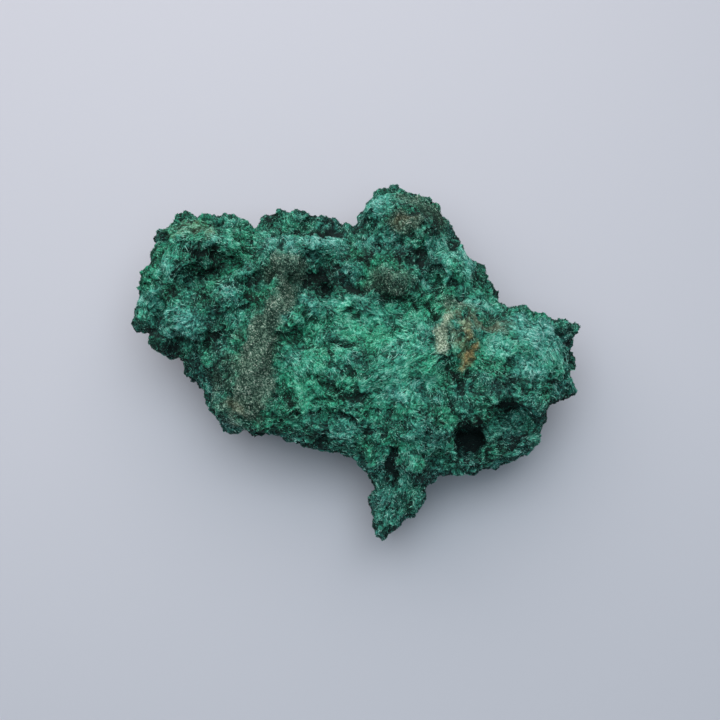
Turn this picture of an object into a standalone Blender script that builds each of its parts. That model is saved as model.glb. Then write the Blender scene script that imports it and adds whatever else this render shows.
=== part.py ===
"""A fibrous malachite specimen: one loose, palm-sized lump of grown crust, modelled at its real size.

Run it with: blender --background --python part.py

The lump is one solid. It is built up the way the mineral grew: a swollen slab gives the plan and the thickness,
rounded growths are joined to it, hollows and cavities are cut from it, noise roughens it, and a plane trims the
worn underside that it rests on. The frame is +Z up, +X along the long side, with the origin under the middle of the
bounding box, on the surface that the lump rests on.
"""

import math
from collections import namedtuple

import bmesh
import bpy
import numpy as np
from mathutils import Matrix, Vector

MM = 0.001

# ---------------------------------------------------------------- driving dimensions, in millimetres
RIM_HALF_THICKNESS = 2.4      # half the height of the blunt edge round the lump
RIM_LEVEL = 15.5              # height of that edge above the underside's lowest point
RIM_TILT = 0.055              # how fast that edge climbs towards the left lobe
TOP_RISE = 9.4                # how far the plateau stands above the edge
TOP_REACH = 13.0              # how far in from the edge the plateau starts
TOP_FULLNESS = 2.0            # how square-shouldered the top is: 1 is a cone, 2 is an ellipse
UNDER_DROP = 14.5             # how far the underside hangs below the edge
UNDER_REACH = 21.0            # how far in from the edge the underside is lowest
UNDER_FULLNESS = 1.5          # how square-shouldered the underside is
PRONG_STARTS_AT = -17.0       # y where the lump starts to sink and thin towards the prong
PRONG_RUN = 9.0               # length over which it does so
PRONG_SINKS = 3.6             # how far the edge sinks
PRONG_THINS = 0.62            # share of the swelling that the prong loses
RESTING_CUT = 1.9             # the underside is worn flat this far above its lowest point
GROWTH_VOXEL = 0.75           # grid size of the joined growths
FINEST_TRIANGLES = 9400       # what the finished solid is reduced to before it is trimmed

# ---------------------------------------------------------------- the plan, anticlockwise from the left lobe
OUTLINE = (
    # left lobe, its flank and the knuckle at its lower corner
    (-34.0, 30.2), (-37.2, 28.2), (-39.8, 26.6), (-41.2, 24.8), (-41.0, 21.6), (-42.0, 19.2),
    (-43.4, 17.0), (-43.8, 12.6), (-43.6, 9.6), (-44.8, 8.0), (-43.8, 6.2), (-41.4, 4.4),
    # lower left side, stepping in under the lobe to the foot of the grey band
    (-39.4, 2.2), (-38.2, 0.8), (-36.2, 0.2), (-34.2, -2.2), (-32.2, -4.2), (-29.4, -6.2),
    (-29.6, -8.4), (-28.8, -11.6), (-26.4, -13.6), (-23.2, -14.6), (-20.6, -15.2), (-18.0, -16.0),
    # under the plateau, where the edge is thin and curls under
    (-13.4, -16.8), (-9.0, -17.9), (-3.6, -18.2), (-0.4, -20.2), (1.8, -22.8),
    # the prong
    (2.6, -25.6), (2.2, -31.4), (3.2, -34.4), (5.4, -35.8), (7.0, -33.8), (8.4, -31.8),
    (11.4, -31.0), (13.0, -27.6), (15.2, -24.4), (16.2, -22.4),
    # the shell at the lower right
    (20.0, -22.4), (26.0, -21.6), (32.0, -19.4), (36.2, -16.6), (38.0, -13.2), (37.2, -10.6),
    (38.4, -9.2),
    # the right lobe, notched between its two points
    (42.2, -7.2), (44.4, -6.8), (43.6, -3.8), (42.2, -0.6), (42.4, 1.6), (43.8, 3.6),
    (43.8, 8.0), (41.4, 8.2), (39.4, 9.2), (36.6, 8.8), (33.0, 11.2), (28.2, 11.6),
    # the shoulder, in three steps up to the knob
    (27.2, 15.0), (26.6, 17.4), (24.2, 18.4), (22.4, 20.4), (21.4, 23.2), (19.6, 26.2),
    # the knob
    (18.2, 29.0), (16.2, 31.4), (12.6, 33.4), (9.4, 34.4), (7.6, 35.4), (4.8, 34.8),
    (2.4, 33.4), (0.6, 30.8), (0.0, 27.2),
    # the crest, behind which the nub stands lower
    (-5.0, 26.0), (-12.0, 25.6), (-18.4, 26.6), (-23.0, 28.6), (-28.6, 29.6),
)

# A rounded growth or hollow: its centre, its half sizes and its turn about Z in degrees.
Blob = namedtuple("Blob", "name x y z rx ry rz turn")

GROWTHS = (
    # left lobe
    Blob("brow", -29.6, 20.5, 22.5, 9.6, 4.4, 8.6, -4),
    Blob("tongue", -36.0, 17.9, 22.5, 5.0, 2.8, 6.0, -8),
    Blob("flank", -40.4, 12.8, 16.5, 2.8, 7.5, 7.0, 6),
    Blob("knuckle", -42.9, 8.0, 15.0, 2.4, 2.8, 3.4, 0),
    Blob("cheek", -33.5, 5.6, 23.0, 6.0, 3.6, 6.4, 8),
    Blob("spine", -23.9, 10.4, 25.5, 7.8, 4.2, 7.4, 34),
    Blob("flank_chip", -31.5, -3.2, 12.0, 4.2, 2.2, 3.6, -42),
    Blob("lobe_foot", -29.5, 1.2, 15.0, 6.0, 5.0, 7.0, -30),
    Blob("band_heel", -25.4, -10.6, 14.5, 3.8, 4.0, 7.0, 0),
    # crest, nub and the two blocks beside the grey band
    Blob("crest", -11.5, 18.6, 24.5, 9.5, 3.2, 8.4, 3),
    Blob("nub_left", -15.9, 28.3, 14.5, 3.6, 2.8, 5.0, 0),
    Blob("nub_middle", -11.2, 28.1, 15.5, 3.8, 2.8, 5.6, 0),
    Blob("nub_right", -6.6, 27.3, 16.0, 3.2, 2.6, 5.6, -20),
    Blob("upper_block", -8.9, 6.8, 29.0, 2.6, 3.4, 5.0, 10),
    Blob("lower_block", -12.9, 4.0, 28.8, 3.6, 2.8, 4.6, 15),
    # knob and shoulder
    Blob("knob", 8.4, 24.5, 20.5, 8.0, 6.0, 10.5, -8),
    Blob("knob_brow", 4.3, 28.6, 22.5, 4.2, 3.4, 6.4, 15),
    Blob("knob_crown", 12.0, 23.5, 26.0, 4.6, 4.0, 6.0, 10),
    Blob("neck", 8.7, 17.9, 23.5, 8.0, 5.5, 6.4, 0),
    Blob("knob_flank", 15.8, 22.2, 17.5, 3.8, 4.4, 7.5, -25),
    Blob("cushion", 7.4, 11.8, 27.4, 5.2, 4.2, 6.6, 0),
    Blob("upper_shoulder", 18.9, 16.4, 21.5, 4.8, 4.0, 7.4, -20),
    Blob("lower_shoulder", 22.4, 12.0, 19.5, 3.6, 4.2, 7.0, 0),
    # plateau
    Blob("plateau_west", -7.6, -1.7, 24.0, 10.0, 8.0, 5.6, 0),
    Blob("plateau_middle", 1.9, -3.8, 25.4, 8.0, 7.0, 5.0, 20),
    Blob("plateau_east", 10.5, -0.1, 25.4, 10.0, 8.0, 6.0, 15),
    Blob("saddle", 20.5, 4.1, 25.0, 4.8, 5.2, 5.8, 10),
    Blob("apron", 9.5, -11.2, 22.5, 9.5, 5.0, 6.4, -20),
    Blob("left_apron", -10.6, -10.8, 20.5, 9.0, 4.6, 6.0, -8),
    # right lobe and shell
    Blob("right_lobe", 31.4, 1.4, 17.5, 10.6, 7.4, 9.6, -4),
    Blob("right_brow", 34.3, -0.8, 19.5, 6.0, 5.0, 8.4, -10),
    Blob("upper_point", 39.9, 4.7, 15.5, 2.6, 3.0, 5.0, 0),
    Blob("lower_point", 40.1, -5.6, 14.5, 3.0, 2.0, 4.0, -25),
    Blob("right_ledge", 30.6, -7.4, 17.0, 9.5, 2.8, 7.0, 6),
    # low growths at the foot
    Blob("round_boss", 10.8, -20.9, 17.6, 3.9, 5.0, 6.2, 18),
    Blob("middle_boss", 3.3, -18.8, 17.0, 3.4, 4.8, 5.8, 10),
    Blob("swirl", -5.5, -16.1, 15.6, 7.5, 2.6, 4.8, -8),
    # underside
    Blob("left_foot", -16.0, 4.0, 5.4, 9.0, 7.5, 7.6, 20),
    Blob("front_foot", 10.0, -6.0, 6.6, 8.5, 5.5, 7.6, -15),
    Blob("back_foot", 7.0, 16.0, 5.2, 8.0, 6.5, 7.6, 10),
    Blob("right_keel", 24.0, -4.0, 9.5, 6.5, 5.0, 6.5, 0),
    Blob("left_keel", -31.3, 14.6, 10.5, 6.5, 7.5, 6.0, 0),
)

HOLLOWS = (
    # left lobe
    Blob("lobe_hollow", -28.0, 15.3, 30.0, 5.6, 2.6, 9.4, 8),
    Blob("lobe_hollow_mouth", -31.9, 13.2, 29.0, 4.4, 1.5, 6.4, 0),
    Blob("lobe_notch", -38.1, 21.6, 25.0, 1.9, 1.7, 4.6, 0),
    Blob("lobe_slope", -34.9, -5.5, 31.0, 12.0, 7.0, 12.0, -46),
    Blob("cheek_shadow", -34.3, 1.4, 27.0, 7.0, 1.6, 5.4, -14),
    Blob("flank_step", -38.9, 7.1, 26.0, 2.4, 4.0, 5.0, 20),
    Blob("lobe_slit", -21.9, 12.1, 33.0, 1.2, 2.2, 5.0, 10),
    # crest
    Blob("crest_crevice", -8.8, 12.9, 33.0, 5.6, 2.2, 8.0, 6),
    Blob("crest_pocket", -6.2, 12.2, 32.0, 2.6, 2.2, 7.6, 0),
    Blob("spine_crevice", -19.2, 12.9, 33.0, 3.4, 1.7, 7.0, 40),
    Blob("block_pocket", -12.1, 0.9, 32.6, 4.2, 1.3, 5.4, 6),
    Blob("block_gap", -5.8, 12.3, 33.0, 1.4, 3.8, 5.4, 15),
    # plateau
    Blob("pit_a", -2.1, 0.0, 33.6, 2.4, 1.3, 4.8, 0),
    Blob("pit_b", 5.4, 4.8, 34.0, 2.8, 1.2, 4.8, -35),
    Blob("pit_c", -5.2, -7.2, 32.6, 2.0, 2.6, 5.4, 0),
    Blob("pit_d", -0.6, -11.7, 31.2, 4.0, 1.4, 5.8, -10),
    Blob("pit_e", -13.0, -10.2, 29.6, 1.7, 2.2, 5.6, 0),
    Blob("pit_f", 15.1, 8.7, 33.4, 2.0, 1.7, 5.4, -30),
    Blob("pit_g", 4.8, -14.6, 30.0, 3.6, 1.4, 5.0, 12),
    Blob("neck_hollow", 11.7, 17.2, 32.5, 3.4, 2.4, 7.0, 16),
    Blob("crest_gap", 0.4, 20.2, 31.5, 2.8, 1.9, 6.4, 15),
    Blob("cushion_shadow", 0.4, 10.7, 32.6, 4.2, 1.5, 5.4, -8),
    Blob("shoulder_gap", 20.8, 14.1, 30.5, 4.0, 1.0, 3.6, -10),
    Blob("stain_hole", 21.6, -4.2, 30.4, 1.4, 1.2, 6.0, 0),
    Blob("valley", 18.6, -5.8, 31.6, 5.0, 1.9, 6.8, -20),
    # right lobe and shell
    Blob("lobe_hole", 31.0, 2.4, 28.4, 1.1, 1.0, 4.0, 0),
    Blob("cavity", 21.4, -17.2, 24.0, 3.4, 2.7, 12.0, 8),
    Blob("bowl", 29.6, -15.2, 25.5, 7.0, 3.9, 9.6, 14),
    Blob("ledge_hole", 29.9, -11.8, 20.5, 4.2, 1.5, 7.0, -14),
    # low growths at the foot
    Blob("boss_groove", 7.2, -22.6, 23.0, 0.9, 4.0, 4.2, 10),
    Blob("prong_groove", 6.8, -24.8, 19.6, 4.4, 1.2, 4.2, 6),
    # underside
    Blob("left_undercut", -38.0, 3.0, 4.0, 9.0, 9.0, 7.0, 0),
    Blob("front_undercut", -6.0, -18.0, 3.5, 13.0, 5.5, 6.5, 0),
    Blob("right_undercut", 36.0, 6.0, 2.0, 11.0, 8.0, 7.0, 0),
    Blob("back_undercut", -4.0, 27.0, 2.0, 12.0, 6.0, 8.0, 0),
    Blob("keel_gap", -22.0, -8.0, 1.0, 6.0, 5.0, 5.0, 30),
    Blob("belly_gap", 0.0, 4.5, 0.0, 3.0, 10.0, 3.6, 20),
)

# A ridge is a chain of overlapping growths: its crest's points, its half width and its half height.
Ridge = namedtuple("Ridge", "name crest half_width half_height")

RIDGES = (
    Ridge("grey_band", ((-14.4, 15.2, 26.6), (-16.6, 6.8, 27.4), (-19.4, 0.2, 26.6), (-21.4, -6.5, 24.0),
                        (-22.8, -10.8, 18.8)), 3.5, 6.6),
    Ridge("shell_lip", ((36.1, -12.4, 16.0), (35.3, -15.5, 15.4), (30.6, -19.4, 15.0), (24.3, -21.6, 15.4),
                        (17.0, -21.8, 16.6)), 1.7, 5.4),
    Ridge("prong_spine", ((9.4, -24.1, 13.6), (7.2, -28.4, 12.4), (5.5, -32.9, 10.6)), 2.8, 3.8),
)
RIDGE_STEP = 1.6              # spacing of the growths along a ridge

# Roughness: its texture, grain size, strength, the direction that it pushes the surface in, and its resting value.
Roughness = namedtuple("Roughness", "name texture size strength direction middle")

ROUGHENING = (
    Roughness("swells", "CLOUDS", 14.0, 5.0, "Z", 0.5),
    Roughness("lumps", "CLOUDS", 6.5, 3.0, "NORMAL", 0.5),
    Roughness("knots", "VORONOI", 4.4, -2.4, "NORMAL", 0.38),
    Roughness("grain", "CLOUDS", 2.0, 1.3, "NORMAL", 0.5),
)


def clear_scene():
    """Removes whatever the scene held before."""
    for obj in list(bpy.data.objects):
        bpy.data.objects.remove(obj)


def mesh_object(name, mesh, collection):
    """A new object for a mesh, in the given collection."""
    obj = bpy.data.objects.new(name, mesh)
    collection.objects.link(obj)
    return obj


def evaluated_mesh(obj):
    """The object's mesh with its modifiers applied, as new data."""
    graph = bpy.context.evaluated_depsgraph_get()
    return bpy.data.meshes.new_from_object(obj.evaluated_get(graph))


def apply_modifiers(obj):
    """Turns the object's modifiers into its own mesh."""
    mesh = evaluated_mesh(obj)
    obj.modifiers.clear()
    obj.data = mesh


def remesh(obj, voxel):
    """Joins overlapping closed shells into one skin on an even grid."""
    modifier = obj.modifiers.new("join", "REMESH")
    modifier.mode = "VOXEL"
    modifier.voxel_size = voxel * MM
    apply_modifiers(obj)


def outline_slab(collection):
    """The plan as a flat plate, twice RIM_HALF_THICKNESS thick, centred on z = 0."""
    curve = bpy.data.curves.new("plan", "CURVE")
    curve.dimensions = "2D"
    curve.fill_mode = "BOTH"
    curve.extrude = RIM_HALF_THICKNESS * MM
    spline = curve.splines.new("POLY")
    spline.points.add(len(OUTLINE) - 1)
    for point, (x, y) in zip(spline.points, OUTLINE):
        point.co = (x * MM, y * MM, 0.0, 1.0)
    spline.use_cyclic_u = True
    plan = bpy.data.objects.new("plan", curve)
    collection.objects.link(plan)
    mesh = evaluated_mesh(plan)
    bpy.data.objects.remove(plan)
    welder = bmesh.new()
    welder.from_mesh(mesh)
    bmesh.ops.remove_doubles(welder, verts=welder.verts, dist=0.01 * MM)
    welder.to_mesh(mesh)
    welder.free()
    slab = mesh_object("slab", mesh, collection)
    remesh(slab, GROWTH_VOXEL)
    return slab


def distance_to_outline(points):
    """How far each (x, y), in millimetres, lies from the outline."""
    corners = np.array(OUTLINE)
    nearest = np.full(len(points), np.inf)
    for start, end in zip(corners, np.roll(corners, -1, axis=0)):
        run = end - start
        share = np.clip((points - start) @ run / (run @ run), 0.0, 1.0)
        gap = np.linalg.norm(points - (start + share[:, None] * run), axis=1)
        nearest = np.minimum(nearest, gap)
    return nearest


def swell(distance, reach, rise, fullness):
    """How far a face has swollen at a distance in from its edge."""
    inwards = 1.0 - np.clip(distance / reach, 0.0, 1.0)
    return rise * (1.0 - inwards**fullness) ** (1.0 / fullness)


def swollen_slab(collection):
    """The plate swollen into the lump's main mass: a plateau on top and a bulging underside."""
    slab = outline_slab(collection)
    places = np.empty(len(slab.data.vertices) * 3, np.float32)
    slab.data.vertices.foreach_get("co", places)
    places = places.reshape(-1, 3).astype(float) / MM
    distance = distance_to_outline(places[:, :2])
    across = np.clip(places[:, 2] / RIM_HALF_THICKNESS, -1.0, 1.0)
    prong = np.clip((PRONG_STARTS_AT - places[:, 1]) / PRONG_RUN, 0.0, 1.0)
    level = RIM_LEVEL - RIM_TILT * places[:, 0] - PRONG_SINKS * prong
    left = 1.0 - PRONG_THINS * prong
    top = RIM_HALF_THICKNESS + left * swell(distance, TOP_REACH, TOP_RISE, TOP_FULLNESS)
    under = RIM_HALF_THICKNESS + left * swell(distance, UNDER_REACH, UNDER_DROP, UNDER_FULLNESS)
    places[:, 2] = level + np.where(across > 0, across * top, across * under)
    slab.data.vertices.foreach_set("co", (places * MM).astype(np.float32).ravel())
    slab.data.update()
    return slab


def ridge_blobs(ridge):
    """The chain of growths that makes a ridge."""
    blobs = []
    crest = [Vector(point) for point in ridge.crest]
    for start, end in zip(crest, crest[1:]):
        run = end - start
        turn = math.degrees(math.atan2(run.y, run.x))
        steps = max(1, round(run.length / RIDGE_STEP))
        for i in range(steps):
            at = start + run * (i / steps)
            blobs.append(
                Blob(ridge.name, at.x, at.y, at.z, 1.3 * RIDGE_STEP, ridge.half_width, ridge.half_height, turn)
            )
    return blobs


def blob_cluster(name, blobs, collection):
    """All the blobs as ellipsoids in one mesh, still overlapping."""
    cluster = bmesh.new()
    for blob in blobs:
        place = (
            Matrix.Translation(Vector((blob.x, blob.y, blob.z)) * MM)
            @ Matrix.Rotation(math.radians(blob.turn), 4, "Z")
            @ Matrix.Diagonal(Vector((blob.rx, blob.ry, blob.rz, 1.0 / MM)) * MM)
        )
        bmesh.ops.create_icosphere(cluster, subdivisions=3, radius=1.0, matrix=place)
    mesh = bpy.data.meshes.new(name)
    cluster.to_mesh(mesh)
    cluster.free()
    return mesh_object(name, mesh, collection)


def grown_mass(collection, helpers):
    """The swollen slab, the growths and the ridges joined into one skin."""
    slab = swollen_slab(helpers)
    growths = list(GROWTHS)
    for ridge in RIDGES:
        growths += ridge_blobs(ridge)
    cluster = blob_cluster("growths", growths, helpers)
    joined = bmesh.new()
    joined.from_mesh(slab.data)
    joined.from_mesh(cluster.data)
    mesh = bpy.data.meshes.new("malachite")
    joined.to_mesh(mesh)
    joined.free()
    for helper in (slab, cluster):
        bpy.data.objects.remove(helper)
    mass = mesh_object("malachite", mesh, collection)
    remesh(mass, GROWTH_VOXEL)
    return mass


def cut_hollows(mass, helpers):
    """Cuts the hollows, cavities and undercuts out of the mass."""
    hollows = blob_cluster("hollows", HOLLOWS, helpers)
    remesh(hollows, GROWTH_VOXEL)
    hollows.hide_render = True
    hollows.display_type = "WIRE"
    cut = mass.modifiers.new("hollows", "BOOLEAN")
    cut.operation = "DIFFERENCE"
    cut.object = hollows
    apply_modifiers(mass)
    remesh(mass, GROWTH_VOXEL)


def roughen(mass):
    """Softens the joins between growths, then lays lumps, knots and grain over them."""
    soften = mass.modifiers.new("soften", "SMOOTH")
    soften.factor = 0.5
    soften.iterations = 1
    for rough in ROUGHENING:
        texture = bpy.data.textures.new(rough.name, rough.texture)
        texture.noise_scale = rough.size * MM
        lift = mass.modifiers.new(rough.name, "DISPLACE")
        lift.texture = texture
        lift.texture_coords = "LOCAL"
        lift.direction = rough.direction
        lift.mid_level = rough.middle
        lift.strength = rough.strength * MM
    apply_modifiers(mass)


def reduce_and_trim(mass, helpers):
    """Cuts the triangles down to the working number, and trims the underside to the worn flat that it rests on."""
    remesh(mass, GROWTH_VOXEL)
    triangles = sum(len(face.vertices) - 2 for face in mass.data.polygons)
    thin = mass.modifiers.new("reduce", "DECIMATE")
    thin.ratio = min(1.0, FINEST_TRIANGLES / triangles)
    apply_modifiers(mass)
    lowest = min(vertex.co.z for vertex in mass.data.vertices)
    size = 200.0 * MM
    block = bmesh.new()
    middle = Vector((0.0, 0.0, lowest + RESTING_CUT * MM - size / 2))
    bmesh.ops.create_cube(block, size=size, matrix=Matrix.Translation(middle))
    mesh = bpy.data.meshes.new("wear_plane")
    block.to_mesh(mesh)
    block.free()
    wear = mesh_object("wear_plane", mesh, helpers)
    wear.hide_render = True
    wear.display_type = "WIRE"
    trim = mass.modifiers.new("wear", "BOOLEAN")
    trim.operation = "DIFFERENCE"
    trim.object = wear
    apply_modifiers(mass)


def keep_largest_body(mass):
    """Drops crumbs that the cuts and the roughening left loose."""
    body = bmesh.new()
    body.from_mesh(mass.data)
    islands = []
    seen = set()
    for vertex in body.verts:
        if vertex in seen:
            continue
        island, front = [], [vertex]
        seen.add(vertex)
        while front:
            here = front.pop()
            island.append(here)
            for edge in here.link_edges:
                other = edge.other_vert(here)
                if other not in seen:
                    seen.add(other)
                    front.append(other)
        islands.append(island)
    islands.sort(key=len)
    for crumb in islands[:-1]:
        bmesh.ops.delete(body, geom=crumb, context="VERTS")
    body.to_mesh(mass.data)
    body.free()


def stand_at_origin(mass):
    """Moves the lump so that the origin is under the middle of its bounding box, on its flat."""
    places = np.array([vertex.co for vertex in mass.data.vertices])
    low, high = places.min(axis=0), places.max(axis=0)
    middle = (low + high) / 2
    mass.data.transform(Matrix.Translation(Vector((-middle[0], -middle[1], -low[2]))))


def malachite_material():
    """Silky green malachite."""
    material = bpy.data.materials.new("malachite")
    material.use_nodes = True
    shader = material.node_tree.nodes["Principled BSDF"]
    shader.inputs["Base Color"].default_value = (0.035, 0.24, 0.16, 1.0)
    shader.inputs["Roughness"].default_value = 0.6
    shader.inputs["Metallic"].default_value = 0.0
    return material


def main():
    clear_scene()
    collection = bpy.data.collections.new("malachite specimen")
    helpers = bpy.data.collections.new("cutters")
    for made in (collection, helpers):
        bpy.context.scene.collection.children.link(made)
    mass = grown_mass(collection, helpers)
    cut_hollows(mass, helpers)
    roughen(mass)
    reduce_and_trim(mass, helpers)
    keep_largest_body(mass)
    stand_at_origin(mass)
    mass.data.materials.append(malachite_material())


main()
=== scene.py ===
# %% [markdown]
# # A fibrous malachite specimen
# Malachite often grows as bunches of very fine needles. They pack into silky tufts, the tufts pack into a
# lump, and the lump breaks off the rock with hollows, ledges and worn spots all over it. This lesson
# dresses the plain solid of such a lump. It sharpens its surface, paints where each mineral lies, grows
# about a hundred and fifty thousand fibres and twenty thousand grains, and lights it softly on a pale
# table.

# %% [markdown]
# ## The solid to start from
# The lump's solid stands on the table plane, in metres, with its middle over the origin.

# %% Load the solid
import math
from collections import namedtuple

import bmesh
import bpy
import numpy as np
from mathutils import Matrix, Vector, noise


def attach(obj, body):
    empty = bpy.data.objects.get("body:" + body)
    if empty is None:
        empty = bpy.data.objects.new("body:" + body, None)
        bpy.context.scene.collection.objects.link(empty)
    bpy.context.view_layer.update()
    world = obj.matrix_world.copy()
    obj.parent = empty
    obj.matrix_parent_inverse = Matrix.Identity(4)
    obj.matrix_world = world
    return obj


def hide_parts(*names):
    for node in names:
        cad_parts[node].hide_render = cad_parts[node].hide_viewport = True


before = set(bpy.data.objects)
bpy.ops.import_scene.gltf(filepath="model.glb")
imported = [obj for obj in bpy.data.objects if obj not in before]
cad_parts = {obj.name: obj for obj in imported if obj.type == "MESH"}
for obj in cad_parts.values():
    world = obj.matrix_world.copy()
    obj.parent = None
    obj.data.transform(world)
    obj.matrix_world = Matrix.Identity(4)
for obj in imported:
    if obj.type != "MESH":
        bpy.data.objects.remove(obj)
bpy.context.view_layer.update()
MM = 0.001


# %% [markdown]
# ## Camera, table and light
# The lump lies on a pale, slightly blue table under an overcast sky. The camera looks down steeply, tipped
# a little towards the viewer, so one low wall shows. Soft light comes from behind the lump. One broad lamp
# gives the shadow on the near side, and a dim blue world fills it. The camera's lens follows from its
# distance and from how much of the table it has to take in, which is easier to reason about than a focal
# length.

# %% Camera
CAMERA_TARGET = Vector((0.0006, 0.0002, 0.015))
CAMERA_ELEVATION = 78.0       # degrees above the table
CAMERA_DISTANCE = 0.310
WIDTH_IN_VIEW = 0.1452        # of the table, at that distance
SENSOR_WIDTH = 36.0


def look_at(obj, target):
    """Turns an object's -Z axis towards a point, with +Y up in its view."""
    obj.rotation_euler = (target - obj.location).to_track_quat("-Z", "Y").to_euler()


def add(name, data):
    """A new object in the scene."""
    obj = bpy.data.objects.new(name, data)
    bpy.context.scene.collection.objects.link(obj)
    return obj


camera = add("camera", bpy.data.cameras.new("camera"))
tip = math.radians(CAMERA_ELEVATION)
camera.location = CAMERA_TARGET + CAMERA_DISTANCE * Vector((0, -math.cos(tip), math.sin(tip)))
look_at(camera, CAMERA_TARGET)
camera.data.sensor_width = SENSOR_WIDTH
camera.data.lens = SENSOR_WIDTH * CAMERA_DISTANCE / WIDTH_IN_VIEW
camera.data.clip_start = 0.01
bpy.context.scene.camera = camera
bpy.context.scene.view_settings.view_transform = "Standard"
print("lens, mm:", round(camera.data.lens, 1))

# %% Lamps and sky
# Name, height and bearing in degrees, distance and size in metres, power in watts, color.
LAMPS = (
    ("window_light", 54.0, -18.0, 0.26, 0.45, 0.645, (1.0, 0.907, 0.853)),
    ("ceiling_light", 88.0, 0.0, 0.60, 0.50, 1.48, (0.80, 0.946, 1.0)),
)
SKY_STRENGTH = 0.18
SKY_COLOR = (0.78, 0.92, 1.0, 1.0)

for name, height, bearing, distance, size, power, color in LAMPS:
    lamp = add(name, bpy.data.lights.new(name, "AREA"))
    lamp.data.shape = "SQUARE"
    lamp.data.size = size
    lamp.data.energy = power
    lamp.data.color = color
    height, bearing = math.radians(height), math.radians(bearing)
    along_floor = distance * math.cos(height)
    lamp.location = Vector((along_floor * math.sin(bearing), along_floor * math.cos(bearing),
                            distance * math.sin(height)))
    look_at(lamp, Vector((0, 0, 0)))
    print(name, "at", [round(c, 3) for c in lamp.location])
sky = bpy.data.worlds.new("overcast")
sky.use_nodes = True
sky.node_tree.nodes["Background"].inputs["Color"].default_value = SKY_COLOR
sky.node_tree.nodes["Background"].inputs["Strength"].default_value = SKY_STRENGTH
bpy.context.scene.world = sky

# %% Table
TABLE_HALF = 6.0
TABLE_COLOR = (0.665, 0.665, 0.745, 1.0)
TABLE_ROUGHNESS = 0.55

table_top = bmesh.new()
bmesh.ops.create_grid(table_top, x_segments=1, y_segments=1, size=TABLE_HALF)
table_mesh = bpy.data.meshes.new("table")
table_top.to_mesh(table_mesh)
table_top.free()
table = add("table", table_mesh)
paint = bpy.data.materials.new("table_paint")
paint.use_nodes = True
gloss = paint.node_tree.nodes["Principled BSDF"]
gloss.inputs["Base Color"].default_value = TABLE_COLOR
gloss.inputs["Roughness"].default_value = TABLE_ROUGHNESS
table.data.materials.append(paint)
print("table, m:", 2 * TABLE_HALF, "wide")

# %% [markdown]
# ## The lump's skin
# The solid has the right lobes, hollows and ledges, but its faces are 2 mm across and a tuft is not much
# more. A voxel remesh lays an even, fine grid over it, which any later step can push about. A plain
# subdivision would keep the solid's long thin triangles, and they would show as creases. The solid's
# triangles are loose, so they are merged first.

# %% Helpers for meshes

def evaluated(obj):
    """The object's mesh as its modifiers leave it."""
    graph = bpy.context.evaluated_depsgraph_get()
    return bpy.data.meshes.new_from_object(obj.evaluated_get(graph))


def apply_modifiers(obj):
    """Turns an object's modifiers into plain mesh."""
    mesh = evaluated(obj)
    obj.modifiers.clear()
    obj.data = mesh


def triangles(obj):
    """How many triangles a mesh object has."""
    return sum(len(face.vertices) - 2 for face in obj.data.polygons)


# %% Remesh the solid
SKIN_VOXEL = 0.30 * MM
SAME_PLACE = 0.001 * MM       # corners nearer than this are one corner

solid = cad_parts["malachite"]
print("solid triangles:", triangles(solid))
merge = bmesh.new()
merge.from_mesh(solid.data)
bmesh.ops.remove_doubles(merge, verts=merge.verts, dist=SAME_PLACE)
skin_mesh = bpy.data.meshes.new("stone")
merge.to_mesh(skin_mesh)
merge.free()
stone = add("stone", skin_mesh)
grid = stone.modifiers.new("grid", "REMESH")
grid.mode = "VOXEL"
grid.voxel_size = SKIN_VOXEL
soften = stone.modifiers.new("soften", "SMOOTH")
soften.factor = 0.5
soften.iterations = 3
apply_modifiers(stone)
print("stone triangles:", triangles(stone))

# %% [markdown]
# ## Where each mineral lies
# A crust of dull grey-olive grains runs down the lump like a ribbon. Small patches are stained ochre and
# some tufts are pale blue-green. The hollow under the crest, other hollows and some rims get painted shade.
# All of
# these are painted as brush strokes: a stroke is a line of points with a half width at each, soft and
# ragged at its edge. The strokes are stored on the stone as attributes, so the same painting later steers
# the relief, the fibres and the colours, and they can never disagree.

# %% What a stroke is
# Every stroke point is x, y and half width, in millimetres.
Stroke = namedtuple("Stroke", "strength points")

# %% The dull crust
CRUST = (
    Stroke(0.85, ((-17.0, 14.4, 1.8), (-15.4, 15.6, 2.4), (-12.2, 15.2, 2.2))),
    Stroke(1.0, ((-13.4, 11.6, 1.9), (-13.8, 8.6, 1.9), (-15.8, 6.0, 2.3), (-17.8, 3.0, 2.7),
                 (-19.0, -0.8, 3.1), (-19.6, -4.8, 3.5), (-20.4, -9.0, 3.8), (-21.2, -11.2, 3.0))),
    Stroke(0.42, ((-20.6, 1.0, 3.2), (-22.0, -3.0, 4.2), (-24.4, -8.6, 4.2), (-24.0, -11.6, 3.0))),
    Stroke(0.95, ((7.6, 25.8, 1.8), (9.4, 24.4, 2.4), (12.0, 24.6, 2.0))),
    Stroke(0.7, ((9.0, 32.0, 1.4), (13.6, 30.0, 1.8), (16.2, 26.4, 1.4))),
    Stroke(0.6, ((4.8, 12.4, 3.0), (8.2, 12.0, 2.8))),
    Stroke(0.75, ((18.4, 8.8, 1.5), (20.6, 8.2, 1.4))),
)
print(len(CRUST), "strokes of dull crust")

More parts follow.
